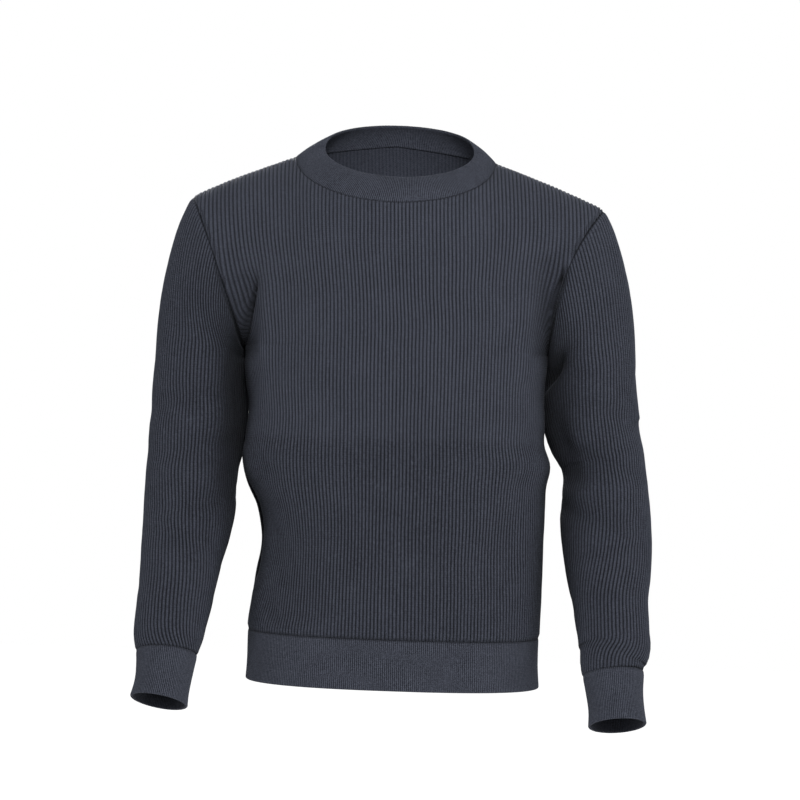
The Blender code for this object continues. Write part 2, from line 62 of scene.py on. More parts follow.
def throughPoints(knots, values, at):
    # cubic pieces through every knot, each knot's slope the mean of its two sides
    slopes = np.gradient(values, knots, axis=0)
    piece = np.clip(np.searchsorted(knots, at, side="right") - 1, 0, len(knots) - 2)
    step = (knots[piece + 1] - knots[piece])[:, None]
    t = (at - knots[piece])[:, None] / step
    return ((1 + 2 * t) * (1 - t) ** 2 * values[piece] + t * (1 - t) ** 2 * step * slopes[piece]
            + t * t * (3 - 2 * t) * values[piece + 1] - t * t * (1 - t) * step * slopes[piece + 1])


def tableAt(table, heights):
    # a table whose first column is a height, read at other heights along a smooth line
    rows = np.array(table, dtype=float)
    rows = rows[np.argsort(-rows[:, 0])]
    return throughPoints(-rows[:, 0], rows[:, 1:], -heights).T


def alongRows(grid, at):
    # the same cubic pieces along each row of a grid; at holds the column wanted, in fractions
    slopes = np.gradient(grid, axis=1)
    piece = np.clip(at.astype(int), 0, grid.shape[1] - 2)
    row = np.arange(len(grid))[:, None]
    t = (at - piece)[..., None]
    start, end = grid[row, piece], grid[row, piece + 1]
    return ((1 + 2 * t) * (1 - t) ** 2 * start + t * (1 - t) ** 2 * slopes[row, piece]
            + t * t * (3 - 2 * t) * end - t * t * (1 - t) * slopes[row, piece + 1])


def evenly(curves, shares):
    # points at the given shares of each curve's own length; curves is rows x samples x axes
    steps = np.linalg.norm(np.diff(curves, axis=1), axis=2)
    run = np.concatenate((np.zeros((len(curves), 1)), np.cumsum(steps, axis=1)), axis=1)
    run = run / run[:, -1:]
    read = [[np.interp(shares, line, curve[:, axis]) for axis in range(curves.shape[2])]
            for line, curve in zip(run, curves)]
    return np.swapaxes(np.array(read), 1, 2)


def softNoise(rows, columnCount, rowCells, columnCells, seed):
    # a coarse grid of seeded random numbers from -1 to 1, drawn smoothly over the fine grid
    rough = np.random.default_rng(seed).uniform(-1, 1, (rowCells + 1, columnCells + 1))
    down = throughPoints(np.arange(rowCells + 1.0), rough, np.linspace(0, rowCells, rows))
    across = throughPoints(np.arange(columnCells + 1.0), down.T,
                           np.linspace(0, columnCells, columnCount))
    return across.T


def gridNormals(grid, closed):
    # the cross product of the steps along the row and along the column
    if closed:
        along = np.roll(grid, -1, axis=1) - np.roll(grid, 1, axis=1)
    else:
        along = np.gradient(grid, axis=1)
    return unit(np.cross(along, np.gradient(grid, axis=0)))


def outwardFrom(grid, normals):
    # normals turned as one so that they point away from each row's own middle
    middle = grid.mean(axis=1, keepdims=True)
    return normals * np.sign(np.sum(normals * (grid - middle)))


def liveNormals(grid, ended):
    # outward normals; a column that has ended takes the normal of the last one that hasn't
    normals = outwardFrom(grid, gridNormals(grid, False))
    live = ~ended
    first = np.argmax(live, axis=1)[:, None]
    last = grid.shape[1] - 1 - np.argmax(live[:, ::-1], axis=1)[:, None]
    column = np.clip(np.arange(grid.shape[1])[None, :], first, last)
    return normals[np.arange(len(grid))[:, None], column]


def runAlong(grid, axis):
    # length walked along the rows (axis 1) or the columns (axis 0), from zero
    steps = np.linalg.norm(np.diff(grid, axis=axis), axis=2)
    start = np.zeros_like(np.take(steps, [0], axis=axis))
    return np.concatenate((start, np.cumsum(steps, axis=axis)), axis=axis)


# Rib knit: each rib is a rounded ridge with a narrow groove on both sides

ribKnit = {
    "phases": (0.0, 0.12, 0.29, 0.5, 0.71, 0.88),   # where the points of one rib lie
    "height": 1.45,
    "roundness": 0.62,       # below 1 the ridge is fuller and the groove narrower
    "unevenness": 0.16,
    "wander": 0.5,           # sideways drift of the ribs
    "sharp": 3,              # a crease under this half width has steep walls, where the ribs
    "flatShare": 0.9,        # lose this share of their height
    "flatReach": 2.2,        # out to this many half widths
}
fineKnit = {
    "phases": (0.0, 0.25, 0.5, 0.75),
    "height": 0.55,
    "roundness": 0.8,
    "unevenness": 0.2,
    "unevenCells": (6, 60),
    "pitch": 2.25,
    "wall": 2.6,
}
clothWall = 1.7
grooves = {                  # along the seams: depth and half width
    "side": (0.8, 1.6), "selvedge": (0.5, 0.6), "hem": (0.3, 2.0), "top": (0.4, 2.0),
    "cap": (0.4, 3.5), "wrist": (0.4, 2.0), "underarm": (0.7, 2.5), "band": (0.2, 1.5),
}
rises = {"hem": 3, "top": 4, "cap": 7, "wrist": 3, "band": 2.5}    # where ribs reach full height


def risenFrom(seam, away):
    # 0 to 1 from 1 mm before the seam to the distance named for it
    return smoothStep(-1, rises[seam], away)


def grooveAt(seam, away):
    # depth * exp(-(distance to the seam / half width)^2)
    depth, halfWidth = grooves[seam]
    return depth * bell(away, halfWidth)


def ribColumns(knit, ribCount, closed):
    # rib number plus phase for every column of points
    spots = (np.arange(ribCount)[:, None] + np.array(knit["phases"])[None, :]).ravel()
    return spots if closed else np.append(spots, float(ribCount))


def ribLift(knit, spots):
    # height times |sin(pi * phase)| ^ roundness
    return knit["height"] * np.abs(np.sin(math.pi * spots)) ** knit["roundness"]


def edgeRound(away, radius):
    # how far a rounded edge falls back: radius - sqrt(radius^2 - (radius - away)^2)
    inside = np.clip(radius - away, 0.0, radius)
    return radius - np.sqrt(np.maximum(radius ** 2 - inside ** 2, 0.0))


# Mesh from an outer grid, an inner grid with fewer columns, and the rims between them

def gridCells(rows, columnCount, first=0):
    # the four corners of every cell, as numbers into the flattened grid
    corner = first + (np.arange(rows - 1)[:, None] * columnCount
                      + np.arange(columnCount - 1)[None, :]).ravel()
    return np.stack((corner, corner + 1, corner + columnCount + 1, corner + columnCount), axis=1)


def rimCells(outerRow, innerRow, step):
    # a fan of triangles from each inner point over its outer points, then one to the next inner
    spans = len(innerRow) - 1
    fans = [np.stack((innerRow[:-1], outerRow[k + 1:spans * step + 1:step][:spans],
                      outerRow[k:spans * step:step]), axis=1) for k in range(step)]
    fans.append(np.stack((innerRow[:-1], innerRow[1:], outerRow[step::step]), axis=1))
    return np.concatenate(fans)


def fillWall(name, outer, inner, step, weave, welds, openSides):
    # outer and inner are rows x columns x 3, the inner one with a column for every step outer
    # ones. weave is rib number and length down the rib, welds the column each point stands in for
    rows, columnCount = outer.shape[:2]
    innerCount = inner.shape[1]
    innerFirst = rows * columnCount
    points = np.concatenate((outer.reshape(-1, 3), inner.reshape(-1, 3))) * metresPerMm
    weaves = np.concatenate((weave.reshape(-1, 2), weave[:, ::step].reshape(-1, 2)))
    row = np.arange(rows)[:, None]
    target = np.concatenate(((row * columnCount + welds).ravel(),
                             (innerFirst + row * innerCount + welds[:, ::step] // step).ravel()))
    quads = [gridCells(rows, columnCount), gridCells(rows, innerCount, innerFirst)[:, ::-1]]
    triangles = []
    for line, flip in ((0, False), (rows - 1, True)):
        fan = rimCells(line * columnCount + np.arange(columnCount),
                       innerFirst + line * innerCount + np.arange(innerCount), step)
        triangles.append(fan[:, ::-1] if flip else fan)
    if openSides:
        for column, innerColumn, flip in ((0, 0, False), (columnCount - 1, innerCount - 1, True)):
            outerEdge = np.arange(rows) * columnCount + column
            innerEdge = innerFirst + np.arange(rows) * innerCount + innerColumn
            edge = np.stack((outerEdge[:-1], outerEdge[1:], innerEdge[1:], innerEdge[:-1]), axis=1)
            quads.append(edge[:, ::-1] if flip else edge)
    return fillMesh(name, points, weaves, target, np.concatenate(quads), np.concatenate(triangles))


def fillMesh(name, points, weaves, target, quads, triangles):
    # cells whose corners were welded become triangles or go; then unused points are dropped
    met = target[quads] == target[np.roll(quads, -1, axis=1)]
    whole = quads[met.sum(axis=1) == 0]
    folded, which = quads[met.sum(axis=1) == 1], met[met.sum(axis=1) == 1]
    kept = folded[~which].reshape(-1, 3)
    triangles = np.concatenate((triangles, kept))
    ends = target[triangles]
    good = ((ends[:, 0] != ends[:, 1]) & (ends[:, 1] != ends[:, 2]) & (ends[:, 2] != ends[:, 0]))
    triangles = triangles[good]
    corners = np.concatenate((whole.ravel(), triangles.ravel()))
    used, vertex = np.unique(target[corners], return_inverse=True)
    starts = np.concatenate((np.arange(len(whole)) * 4,
                             len(whole) * 4 + np.arange(len(triangles)) * 3))
    mesh = bpy.data.meshes.new(name)
    mesh.vertices.add(len(used))
    mesh.vertices.foreach_set("co", points[used].ravel())
    mesh.loops.add(len(corners))
    mesh.loops.foreach_set("vertex_index", vertex.ravel())
    mesh.polygons.add(len(starts))
    mesh.polygons.foreach_set("loop_start", starts)
    mesh.update(calc_edges=True)
    layer = mesh.uv_layers.new(name="weave")
    layer.data.foreach_set("uv", weaves[corners].ravel())
    if signedVolume(points, whole, triangles) < 0:
        mesh.flip_normals()
    mesh.shade_smooth()
    piece = bpy.data.objects.new(name, mesh)
    bpy.context.scene.collection.objects.link(piece)
    print("  " + name, len(whole) * 2 + len(triangles), "triangles")
    return piece


def signedVolume(points, quads, triangles):
    # a sixth of the sum of a . (b x c) over all triangles
    faces = np.concatenate((quads[:, :3], quads[:, [0, 2, 3]], triangles))
    a, b, c = points[faces[:, 0]], points[faces[:, 1]], points[faces[:, 2]]
    return np.sum(a * np.cross(b, c)) / 6


# Body: front and back panels

body = {
    "rings": (               # height, left, right, front, back, from the middle plane
        (-222, 174, 180, 118, 112),
        (-262, 170, 176, 119, 109),
        (-303, 166, 178, 117, 104),
        (-325, 168, 178, 115, 101),
        (-347, 171, 185.5, 112, 99),
        (-375, 166, 182.5, 109, 97),
        (-403, 153, 182, 107, 96),
        (-436, 146, 181, 105, 98),
        (-490, 152, 181, 107, 107),
        (-547, 158, 180, 111, 114),
        (-575, 158, 180, 112, 115),
        (-604, 159, 182, 114, 117),
    ),
    "hemSeam": -547,
    "hemEnd": -604,
    "armpit": -222,
    "squareness": 2.5,       # 2 is an ellipse, more is squarer
    "lean": 0.018,           # sideways drift of the middle line, down the body
    "ribs": 116,
    "lowerRows": 62,
    "upperRows": 46,
    "controlColumns": 36,    # on each side of the middle
    "samples": 240,          # points of each quarter ring before it is spaced evenly
    "trim": 1.3,             # the base lies this far under the outline, for the ribs
    "stretch": 0.07,         # how far ribs widen before those that ended at the armhole come back
    "spread": 1.6,           # above 1 the outer ribs change their width more than the inner
    "uprightFrom": 0.7,      # share of the way up from the armpit
    "held": 25,              # folds die out this near the hem band
    "driftCells": (14, 9),   # how coarse the drift and the unevenness of the ribs are
    "unevenCells": (40, 58),
    "steadyRibs": 6,         # the outermost ribs don't drift
}
neck = {
    "centreX": -5, "halfWidth": 115,
    "frontDepth": 97, "frontDrop": 54,
    "backDepth": 72, "backRise": 24,
    "share": 0.5,            # share of the columns that end in the neckline
    "fan": 0.4,              # 0 spaces these columns evenly in x, 1 evenly in angle
    "frontArm": (12, 52), "backArm": (26, 44),    # arms of the curves, back and down
    "ridge": 20,             # the back's arms drop less beside the neck
}
shoulder = {
    "x": 237, "drop": 50, "bow": 0.2,
    "reach": 84, "frontDrop": 28, "backDrop": 14,    # arms of the curves at the seam
    "edgeStart": 0.62,       # share of the half width where the armhole takes over
    "chestArm": 58,          # upright arm of the curves at armpit level, in the middle
    "relax": 14,             # rounds of smoothing across, at the armpit
}
armhole = {
    "front": 68, "back": 62,
    "fade": 12,              # ribs die out this near the underarm point
    "selvedge": 3.4, "bead": 1.2,    # width and height of the smooth edge along the seam
    "startRows": 3,          # over this many rows above the armpit the smooth edge begins
    "ribStart": 1.5,         # past the smooth edge the ribs rise over this distance
    "deeper": 0.7,           # the side groove is this much deeper along the armhole
    "bow": {(-1, -1): 3, (1, -1): 17, (-1, 1): 6, (1, 1): 6},   # by hand and side
}

# Folds seen from the front: fromX, fromZ, toX, toZ, halfWidth, depth. A trough is negative
frontFolds = (
    (-165, -150, -163, -225, 12, -5),
    (-142, -140, -146, -240, 13, 3),
    (172, -120, 166, -215, 13, -4),
    (147, -140, 146, -240, 16, 2.5),
    (-150, -385, -95, -520, 22, -5),
    (-122, -350, -60, -450, 24, 3),
    (-140, -470, -118, -545, 14, -3),
    (165, -380, 112, -470, 22, -3),
    (142, -350, 80, -420, 24, 2),
)
frontCreases = (
    (-157, -146, -170, -217, 1.8, -10),
    (-176, -150, -174, -205, 6, 3),
    (190, -122, 178, -170, 2.0, -8),
    (-150, -235, -166, -300, 9, -3),
    (-140, -395, -104, -500, 8, -2.6),
    (-128, -430, -86, -530, 7, 1.8),
    (-150, -470, -120, -540, 9, -2.4),
    (-160, -350, -120, -372, 8, -2.4),
    (150, -440, 118, -520, 9, -1.8),
    (172, -345, 140, -380, 8, -2.2),
    (170, -300, 150, -330, 9, -1.8),
    (-60, -515, 20, -530, 9, -1.0),
    (40, -505, 110, -528, 10, -1.2),
    (-150, -545, 170, -541, 5, 0.9),
)
backFolds = (
    (-165, -110, -150, -230, 15, -5),
    (165, -110, 152, -230, 15, -5),
    (-120, -330, 40, -365, 22, -4),
    (-60, -390, 120, -420, 24, -4.5),
    (-110, -455, 60, -470, 22, -3),
)
backCreases = (
    (-168, -130, -170, -215, 4, -5),
    (170, -130, 172, -212, 4, -5),
    (-140, -300, -20, -338, 9, -2.2),
    (-20, -352, 130, -380, 10, -2.4),
    (-130, -402, 10, -432, 9, -2.0),
    (30, -440, 140, -455, 9, -1.8),
    (-90, -490, 60, -505, 10, -1.4),
    (-150, -545, 160, -541, 5, 0.9),
)


def foldLift(points, folds, tapered):
    # each fold adds depth * exp(-(distance to its line / half width)^2); a tapered one is
    # also scaled by 0.15 + 0.85 sin(pi * share)^0.7, so that it fades towards both ends
    lift = np.zeros(points.shape[:-1])
    for fromX, fromZ, toX, toZ, halfWidth, depth in folds:
        run = np.array([toX - fromX, toZ - fromZ], dtype=float)
        flat = points[..., [0, 2]] - np.array([fromX, fromZ])
        share = flat @ run / (run @ run)
        away = np.linalg.norm(flat - np.clip(share, 0, 1)[..., None] * run, axis=-1)
        strength = depth * bell(away, halfWidth)
        if tapered:
            strength = strength * (0.15 + 0.85 * np.sin(math.pi * np.clip(share, 0, 1)) ** 0.7)
        lift += strength
    return lift


def bodyRows(heights, side, columnShares):
    # level rows of one panel: two squared quarter rings, x = reach sin^p, y = depth cos^p
    left, right, front, back = tableAt(body["rings"], heights)
    depth = (front if side < 0 else back) - body["trim"]
    middle = -heights * body["lean"]
    turn = np.linspace(0, math.pi / 2, body["samples"])
    power = 2 / body["squareness"]
    halves = []
    for reach in (right - middle - body["trim"], left + middle - body["trim"]):
        curve = np.stack((reach[:, None] * np.sin(turn) ** power,
                          depth[:, None] * np.cos(turn) ** power), axis=2)
        halves.append(evenly(curve, columnShares))
    toRight, toLeft = halves
    x = np.concatenate((middle[:, None] - toLeft[:, :0:-1, 0], middle[:, None] + toRight[..., 0]),
                       axis=1)
    y = side * np.concatenate((toLeft[:, :0:-1, 1], toRight[..., 1]), axis=1)
    return np.stack((x, y, np.broadcast_to(heights[:, None], x.shape)), axis=2)


def armholePoints(hand):
    # shoulder tip, underarm point and their middle
    left, right = tableAt(body["rings"], np.array([float(body["armpit"])]))[:2]
    reach = (left if hand < 0 else right)[0] - body["trim"]
    tip = np.array([hand * shoulder["x"], 0.0, -shoulder["drop"]])
    under = np.array([hand * reach, 0.0, body["armpit"]])
    return tip, under, (tip + under) / 2


def armholeEdge(hand, side, turns):
    # half an ellipse on the chord from the underarm (turn 0) to the shoulder tip (turn pi)
    _, under, centre = armholePoints(hand)
    bulge = np.array([0.0, side * (armhole["front"] if side < 0 else armhole["back"]), 0.0])
    return (centre + np.cos(turns)[:, None] * (under - centre)
            + np.sin(turns)[:, None] * bulge + armholeBow(hand, side, turns))


def armholeSquare(hand):
    # direction square to the armhole's chord, towards the sleeve
    tip, under, _ = armholePoints(hand)
    along = unit(tip - under)
    return np.array([hand * abs(along[2]), 0.0, -abs(along[0])])


def armholeBow(hand, side, turns):
    # the seam strays into the body by bow * sin(turn)^2
    depth = armhole["bow"][(hand, side)] * np.sin(turns) ** 2
    return -depth[:, None] * armholeSquare(hand)


def topEdge(side, share):
    # neckline, an ellipse dipped in front and raised behind, then straight bowed shoulders
    hand = np.sign(share)
    alongNeck = np.clip(np.abs(share) / neck["share"], 0, 1)
    turn = (1 - neck["fan"]) * np.arcsin(alongNeck) + neck["fan"] * alongNeck * math.pi / 2
    alongShoulder = np.clip((np.abs(share) - neck["share"]) / (1 - neck["share"]), 0, 1)
    neckX = neck["centreX"] + hand * neck["halfWidth"] * np.sin(turn)
    x = neckX + (hand * shoulder["x"] - neckX) * alongShoulder
    y = side * (neck["frontDepth"] if side < 0 else neck["backDepth"]) * np.cos(turn)
    fall = (1 - shoulder["bow"]) * alongShoulder + shoulder["bow"] * alongShoulder ** 2
    if side < 0:
        lift = -neck["frontDrop"] * np.cos(turn)
    else:
        lift = neck["backRise"] * (np.cos(turn) + 1 - np.sin(turn)) / 2
    z = lift * (alongShoulder == 0) - shoulder["drop"] * fall
    return np.stack((x, y, z), axis=1), np.cos(turn), alongShoulder


def relaxed(row, rounds):
    # (left + 2 * own + right) / 4, as many times as said, ends kept
    for _ in range(rounds):
        row = np.concatenate((row[:1], (row[:-2] + 2 * row[1:-1] + row[2:]) / 4, row[-1:]))
    return row


def upperRows(start, side, shares):
    # each column a cubic curve from armpit level to the upper edge. Its arms stand upright
    # in the middle and swing to 4/3 of the armhole's depth at the edges, as half an ellipse needs
    share = np.linspace(-1, 1, 2 * body["controlColumns"] + 1)
    end, nearNeck, alongShoulder = topEdge(side, share)
    edge = np.clip((np.abs(share) - shoulder["edgeStart"]) / (1 - shoulder["edgeStart"]), 0, 1) ** 2
    reach = (armhole["front"] if side < 0 else armhole["back"]) * 4 / 3
    first = np.stack((0 * share, side * reach * edge, shoulder["chestArm"] * (1 - edge)), axis=1)
    seamReach = shoulder["reach"] + (reach - shoulder["reach"]) * alongShoulder
    seamDrop = (shoulder["frontDrop"] if side < 0 else shoulder["backDrop"]) * (1 - alongShoulder)
    if side > 0:
        seamDrop = seamDrop - neck["ridge"] * np.clip(1 - 2 * alongShoulder, 0, 1) ** 2
    neckReach, neckDrop = neck["frontArm"] if side < 0 else neck["backArm"]
    last = np.stack((0 * share, side * (seamReach + (neckReach - seamReach) * nearNeck),
                     -(seamDrop + (neckDrop - seamDrop) * nearNeck)), axis=1)
    turns = armholeTurns(shares)
    bows = {hand: armholeBow(hand, side, turns) for hand in (-1, 1)}
    rows = []
    for index, t in enumerate(shares):
        row = ((1 - t) ** 3 * start + 3 * t * (1 - t) ** 2 * (start + first)
               + 3 * t ** 2 * (1 - t) * (end + last) + t ** 3 * end)
        bow = np.where(share[:, None] > 0, bows[1][index], bows[-1][index])
        rows.append(relaxed(row + edge[:, None] * bow, int(shoulder["relax"] * (1 - t) ** 0.5)))
    return np.array(rows)


def pinEdges(grid, lowerCount, side, turns):
    # a panel's first and last columns follow the armholes above the armpit and lie in the
    # middle plane, y = 0, below it
    for hand, column in ((-1, 0), (1, -1)):
        grid[lowerCount - 1:, column] = armholeEdge(hand, side, turns)
        grid[:lowerCount, column, 1] = 0.0


def armholeTurns(shares):
    # half turns from the underarm to the shoulder tip: arccos(1 - 2 (3t^2 - 2t^3))
    return np.arccos(1 - 2 * (3 * shares ** 2 - 2 * shares ** 3))


def panel(name, side, folds, creases, seed):
    # base = control surface + folds along its normal; outer = base + ribs, less the seams'
    # grooves; inner = base - the cloth's wall
    heights = np.linspace(body["hemSeam"], body["armpit"], body["lowerRows"])
    shares = np.linspace(0, 1, body["controlColumns"] + 1)
    lower = bodyRows(heights, side, shares)
    climb = np.linspace(0, 1, body["upperRows"] + 1)
    control = np.concatenate((lower, upperRows(lower[-1], side, climb[1:])))
    turns = armholeTurns(climb)
    pinEdges(control, len(lower), side, turns)
    rows = len(control)
    signed, at, ended, count = ribPlaces(control, len(lower) - 1)
    fromEdge = np.clip(count - np.abs(signed), 0, None)
    pitch = body["controlColumns"] / body["ribs"] / 2
    drift = softNoise(rows, len(signed), *body["driftCells"], seed) * ribKnit["wander"] * pitch
    drift = drift * smoothStep(0, body["steadyRibs"], fromEdge)
    base = alongRows(control, np.clip(at + drift, 0, 2 * body["controlColumns"]))
    outward = liveNormals(base, ended)
    held = smoothStep(0, body["held"], base[..., 2] - body["hemSeam"])
    base = base + outward * (held * foldLift(base, folds, False))[..., None]
    base = base + outward * (held * foldLift(base, creases, True))[..., None]
    pinEdges(base, len(lower), side, turns)
    outward = liveNormals(base, ended)

    across, up = runAlong(base, 1), runAlong(base, 0)
    fromSide = np.minimum(across, across[:, -1:] - across)
    fromHem, fromTop = up, up[-1:] - up
    # the selvedge starts over the first rows above the armpit
    upper = smoothStep(0, armhole["startRows"], np.arange(rows) - len(lower) + 1)[:, None]
    lift = np.broadcast_to(ribLift(ribKnit, signed), fromSide.shape)
    uneven = softNoise(rows, len(signed), *body["unevenCells"], seed + 1)
    lift = lift * (1 + ribKnit["unevenness"] * uneven)
    # the ribs lie flat on the steep walls of a sharp crease
    walls = tuple((*crease[:4], ribKnit["flatReach"] * crease[4], ribKnit["flatShare"])
                  for crease in creases if crease[4] < ribKnit["sharp"])
    lift = lift * np.clip(1 - foldLift(base, walls, True), 0, 1)
    selvedge = armhole["selvedge"]
    ribbed = smoothStep(selvedge, selvedge + armhole["ribStart"], fromSide)
    lift = lift * (1 - upper * (1 - ribbed))
    bead = np.sin(math.pi * np.clip(fromSide / selvedge, 0, 1))
    lift = lift + upper * (armhole["bead"] * bead - grooveAt("selvedge", fromSide - selvedge))
    lift = lift * risenFrom("hem", fromHem) * risenFrom("top", fromTop)
    for hand in (-1, 1):
        near = np.linalg.norm(base - armholePoints(hand)[1], axis=2)
        lift = lift * smoothStep(0, armhole["fade"], near)
    depth, halfWidth = grooves["side"]
    lift = lift - (depth + armhole["deeper"] * upper) * bell(fromSide, halfWidth)
    lift = lift - grooveAt("hem", fromHem) - grooveAt("top", fromTop)
    outer = base + outward * lift[..., None]
    inner = (base - outward * clothWall)[:, ::len(ribKnit["phases"])]
    for grid in (outer, inner):
        grid[:len(lower), [0, -1], 1] = side * seamGap / 2
        grid[0, :, 2] = body["hemSeam"] + seamGap / 2
    weave = np.stack((np.where(ended, np.sign(signed) * count, signed), up), axis=2)
    columns = np.arange(len(signed))
    welds = np.where(ended, np.where(signed < 0, 0, columns[-1]), columns)
    return fillWall(name, outer, inner, len(ribKnit["phases"]), weave, welds, True)


def ribPlaces(control, armpitRow):
    # Where each rib lies on the rows of a panel. The ribs keep their width in the middle. Above
    # the armpit the outermost end at the armhole, to come back where the panel widens again, and
    # the outer ones take up what is left over: distance = i * width + spare * (i / count)^spread.
    # Distances are level ones, and over the shoulders only the sideways part counts
    half = body["ribs"] // 2
    middle = body["controlColumns"]
    signed = ribColumns(ribKnit, body["ribs"], False) - half
    climb = np.clip((np.arange(len(control)) - armpitRow) / body["upperRows"], 0, 1)
    level = control * np.array([1.0, 1.0, 0.0])
    level[..., 1] *= (1 - smoothStep(0, body["uprightFrom"], climb))[:, None]
    walked = runAlong(level, 1)
    walked = walked - walked[:, middle:middle + 1]
    at, counts = [], []
    for hand, reach in ((-1, -walked[:, 0]), (1, walked[:, -1])):
        width = reach[armpitRow] / half
        fitting = np.where(np.arange(len(control)) < armpitRow, half, reach / width)
        kept = np.minimum.accumulate(fitting)
        wider = fitting / kept - 1
        stretch = body["stretch"] * (1 - np.exp(-wider / body["stretch"]))
        count = np.minimum(fitting / (1 + stretch), half)
        spare = reach - count * width
        ribs = np.abs(signed[hand * signed > 0])[None, :]
        share = np.clip(ribs / count[:, None], 0, 1)
        distance = np.minimum(ribs, count[:, None]) * width
        distance = distance + spare[:, None] * share ** body["spread"]
        index = [np.interp(hand * line, run, np.arange(len(run)))
                 for line, run in zip(distance, walked)]
        at.append(np.array(index))
        counts.append(np.broadcast_to(count[:, None], distance.shape))
    centre = np.full((len(control), 1), float(middle))
    at = np.concatenate((at[0], centre, at[1]), axis=1)
    count = np.concatenate((counts[0], counts[1][:, :1], counts[1]), axis=1)
    ended = np.abs(signed)[None, :] >= count - 1e-6
    ended[:, 0], ended[:, -1] = False, False
    return signed, at, ended, count


# Sleeves: rings square to the arm's path

rightArm = {
    "name": "sleeve_right_cloth", "hand": -1, "seed": 31, "twist": 32,
    "folds": (               # height, slope, around, halfAround, halfHeight, depth
        (-285, 0, 150, 20, 62, -9),
        (-300, 0, 112, 16, 60, 2.5),
        (-375, 0.2, 140, 22, 16, -4),
    ),
    "rings": (               # height, out, forward, halfWidth, halfDepth
        (-240, 223.5, -3, 52.5, 63),
        (-270, 223.5, -6, 55, 62),
        (-305, 223, -8, 57, 60),
        (-335, 225.5, -8, 56, 59),
        (-361, 228.5, -6, 53.5, 58),
        (-403, 229.5, 4, 53.5, 56),
        (-436, 232, 16, 51, 54),
        (-470, 236, 28, 46.5, 49),
        (-504, 238.5, 41, 44, 46),
        (-537, 243, 55, 41, 44),
        (-558, 245, 63, 39, 42),
        (-574, 245.5, 68, 35, 38),
    ),
    "cuff": (
        (-574, 245.5, 68, 35, 38),
        (-592, 246.5, 75, 32.5, 36.5),
        (-610, 248.5, 81, 31.5, 36),
        (-627, 251, 87, 33, 37),
    ),
}
leftArm = {
    "name": "sleeve_left_cloth", "hand": 1, "seed": 47, "twist": 24,
    "folds": (
        (-238, -2.4, 144, 25, 11, -11),
        (-266, -1.0, 158, 22, 14, 4),
        (-314, -0.4, 140, 20, 28, -9),
        (-355, 0.5, 140, 24, 16, -5),
    ),
    "rings": (
        (-240, 229, -3, 52, 63),
        (-270, 230.5, -6, 54.5, 62),
        (-305, 234.5, -8, 56, 60),
        (-325, 242, -8, 51.5, 59),
        (-336, 246, -8, 49.5, 58.5),
        (-347, 248.5, -7, 48.5, 58),
        (-403, 251.5, 4, 52.5, 56),
        (-436, 254, 16, 52, 54),
        (-470, 256, 28, 48.5, 50),
        (-504, 258, 41, 43.5, 46),
        (-537, 262, 55, 41, 44),
        (-553, 263, 61, 40.5, 43),
        (-567, 260.5, 66, 36.5, 40),
        (-580, 262, 70, 35, 38),
    ),
    "cuff": (
        (-580, 262, 70, 35, 38),
        (-599, 263.5, 77, 32.5, 36.5),
        (-617, 265.5, 83, 31.5, 36),
        (-636, 267, 90, 33, 37),
    ),
}
sleeve = {
    "ribs": 43,              # on each half, counted from the outer line to the underarm seam
    "capRows": 38,
    "armRows": 84,
    "controlColumns": 52,    # on each half
    "samples": 400,
    "topArm": (25, -40),     # arms of the cap's curves, out and up, at the shoulder tip
    "underPinch": 0.12, "underDrop": 0.30,    # the same at the underarm, as shares
    "endArm": 0.36,          # arm at the first ring, as a share of the curve's chord
    "tuckUnder": 1.2, "tuckDeep": 1.0,   # the cap's edge ends inside the panel's own
    "twistFrom": -40, "twistTo": -200,   # the grain turns towards the front between these heights
    "moreBehind": 9,         # ribs that come out of the back of the underarm seam as it turns
    "sink": 6, "sinkFrom": -105, "sinkTo": -175,   # the cap falls back beside the seam here
    "sinkReach": 4,          # how far from the seam it is deepest
    "driftCells": (16, 9), "unevenCells": (44, 43),
    "steadiness": 4.2,       # the drift is divided by this, and dies out near the underarm seam
    "calmShare": 0.08,
}
# height, slope (mm for 3 degrees), around, halfAround, halfHeight, depth. Around is in degrees
# from the outer line towards the front
armFolds = (
    (-285, 0.7, 75, 60, 14, -4),
    (-335, 0.6, 120, 70, 13, -4),
    (-372, -0.3, 100, 60, 12, 2.5),
    (-400, 0.4, 120, 75, 12, -4.5),
    (-440, -0.4, 90, 60, 12, -3),
    (-350, 0.3, 270, 60, 15, -3),
    (-500, 0.3, 250, 70, 13, -3),
)


def arcFrames(centres, hand):
    # the path's direction, and across it the outward and forward directions
    along = unit(np.gradient(centres, axis=0))
    out = np.zeros_like(along)
    out[:, 0] = hand
    out = unit(out - along * np.sum(out * along, axis=1, keepdims=True))
    forward = unit(np.cross(along, out) * hand)
    return along, out, forward * -np.sign(forward[:, 1:2])


def halfRings(across, front, back, count):
    # from the underarm over the back to the outer line, then over the front to the underarm,
    # evenly spaced on each half of an ellipse
    turn = np.linspace(0, math.pi, sleeve["samples"])
    shares = np.linspace(0, 1, count + 1)
    halves = []
    for reach, sign in ((back, -1), (front, 1)):
        curve = np.stack((across[:, None] * np.cos(turn), sign * reach[:, None] * np.sin(turn)),
                         axis=2)
        halves.append(evenly(curve, shares))
    return np.concatenate((halves[0][:, ::-1], halves[1][:, 1:]), axis=1)


def armGrid(arm, heights, trim, count):
    # level by level along the arm's path, which runs on through the cuff
    hand = arm["hand"]
    out, forward, width, depth = tableAt(arm["rings"] + arm["cuff"][1:], heights)
    centres = np.stack((hand * out, -forward, heights), axis=1)
    along, outDir, forwardDir = arcFrames(centres, hand)
    ring = halfRings(width - trim, depth - trim, depth - trim, count)
    grid = (centres[:, None] + ring[..., :1] * outDir[:, None] + ring[..., 1:] * forwardDir[:, None])
    return grid, along


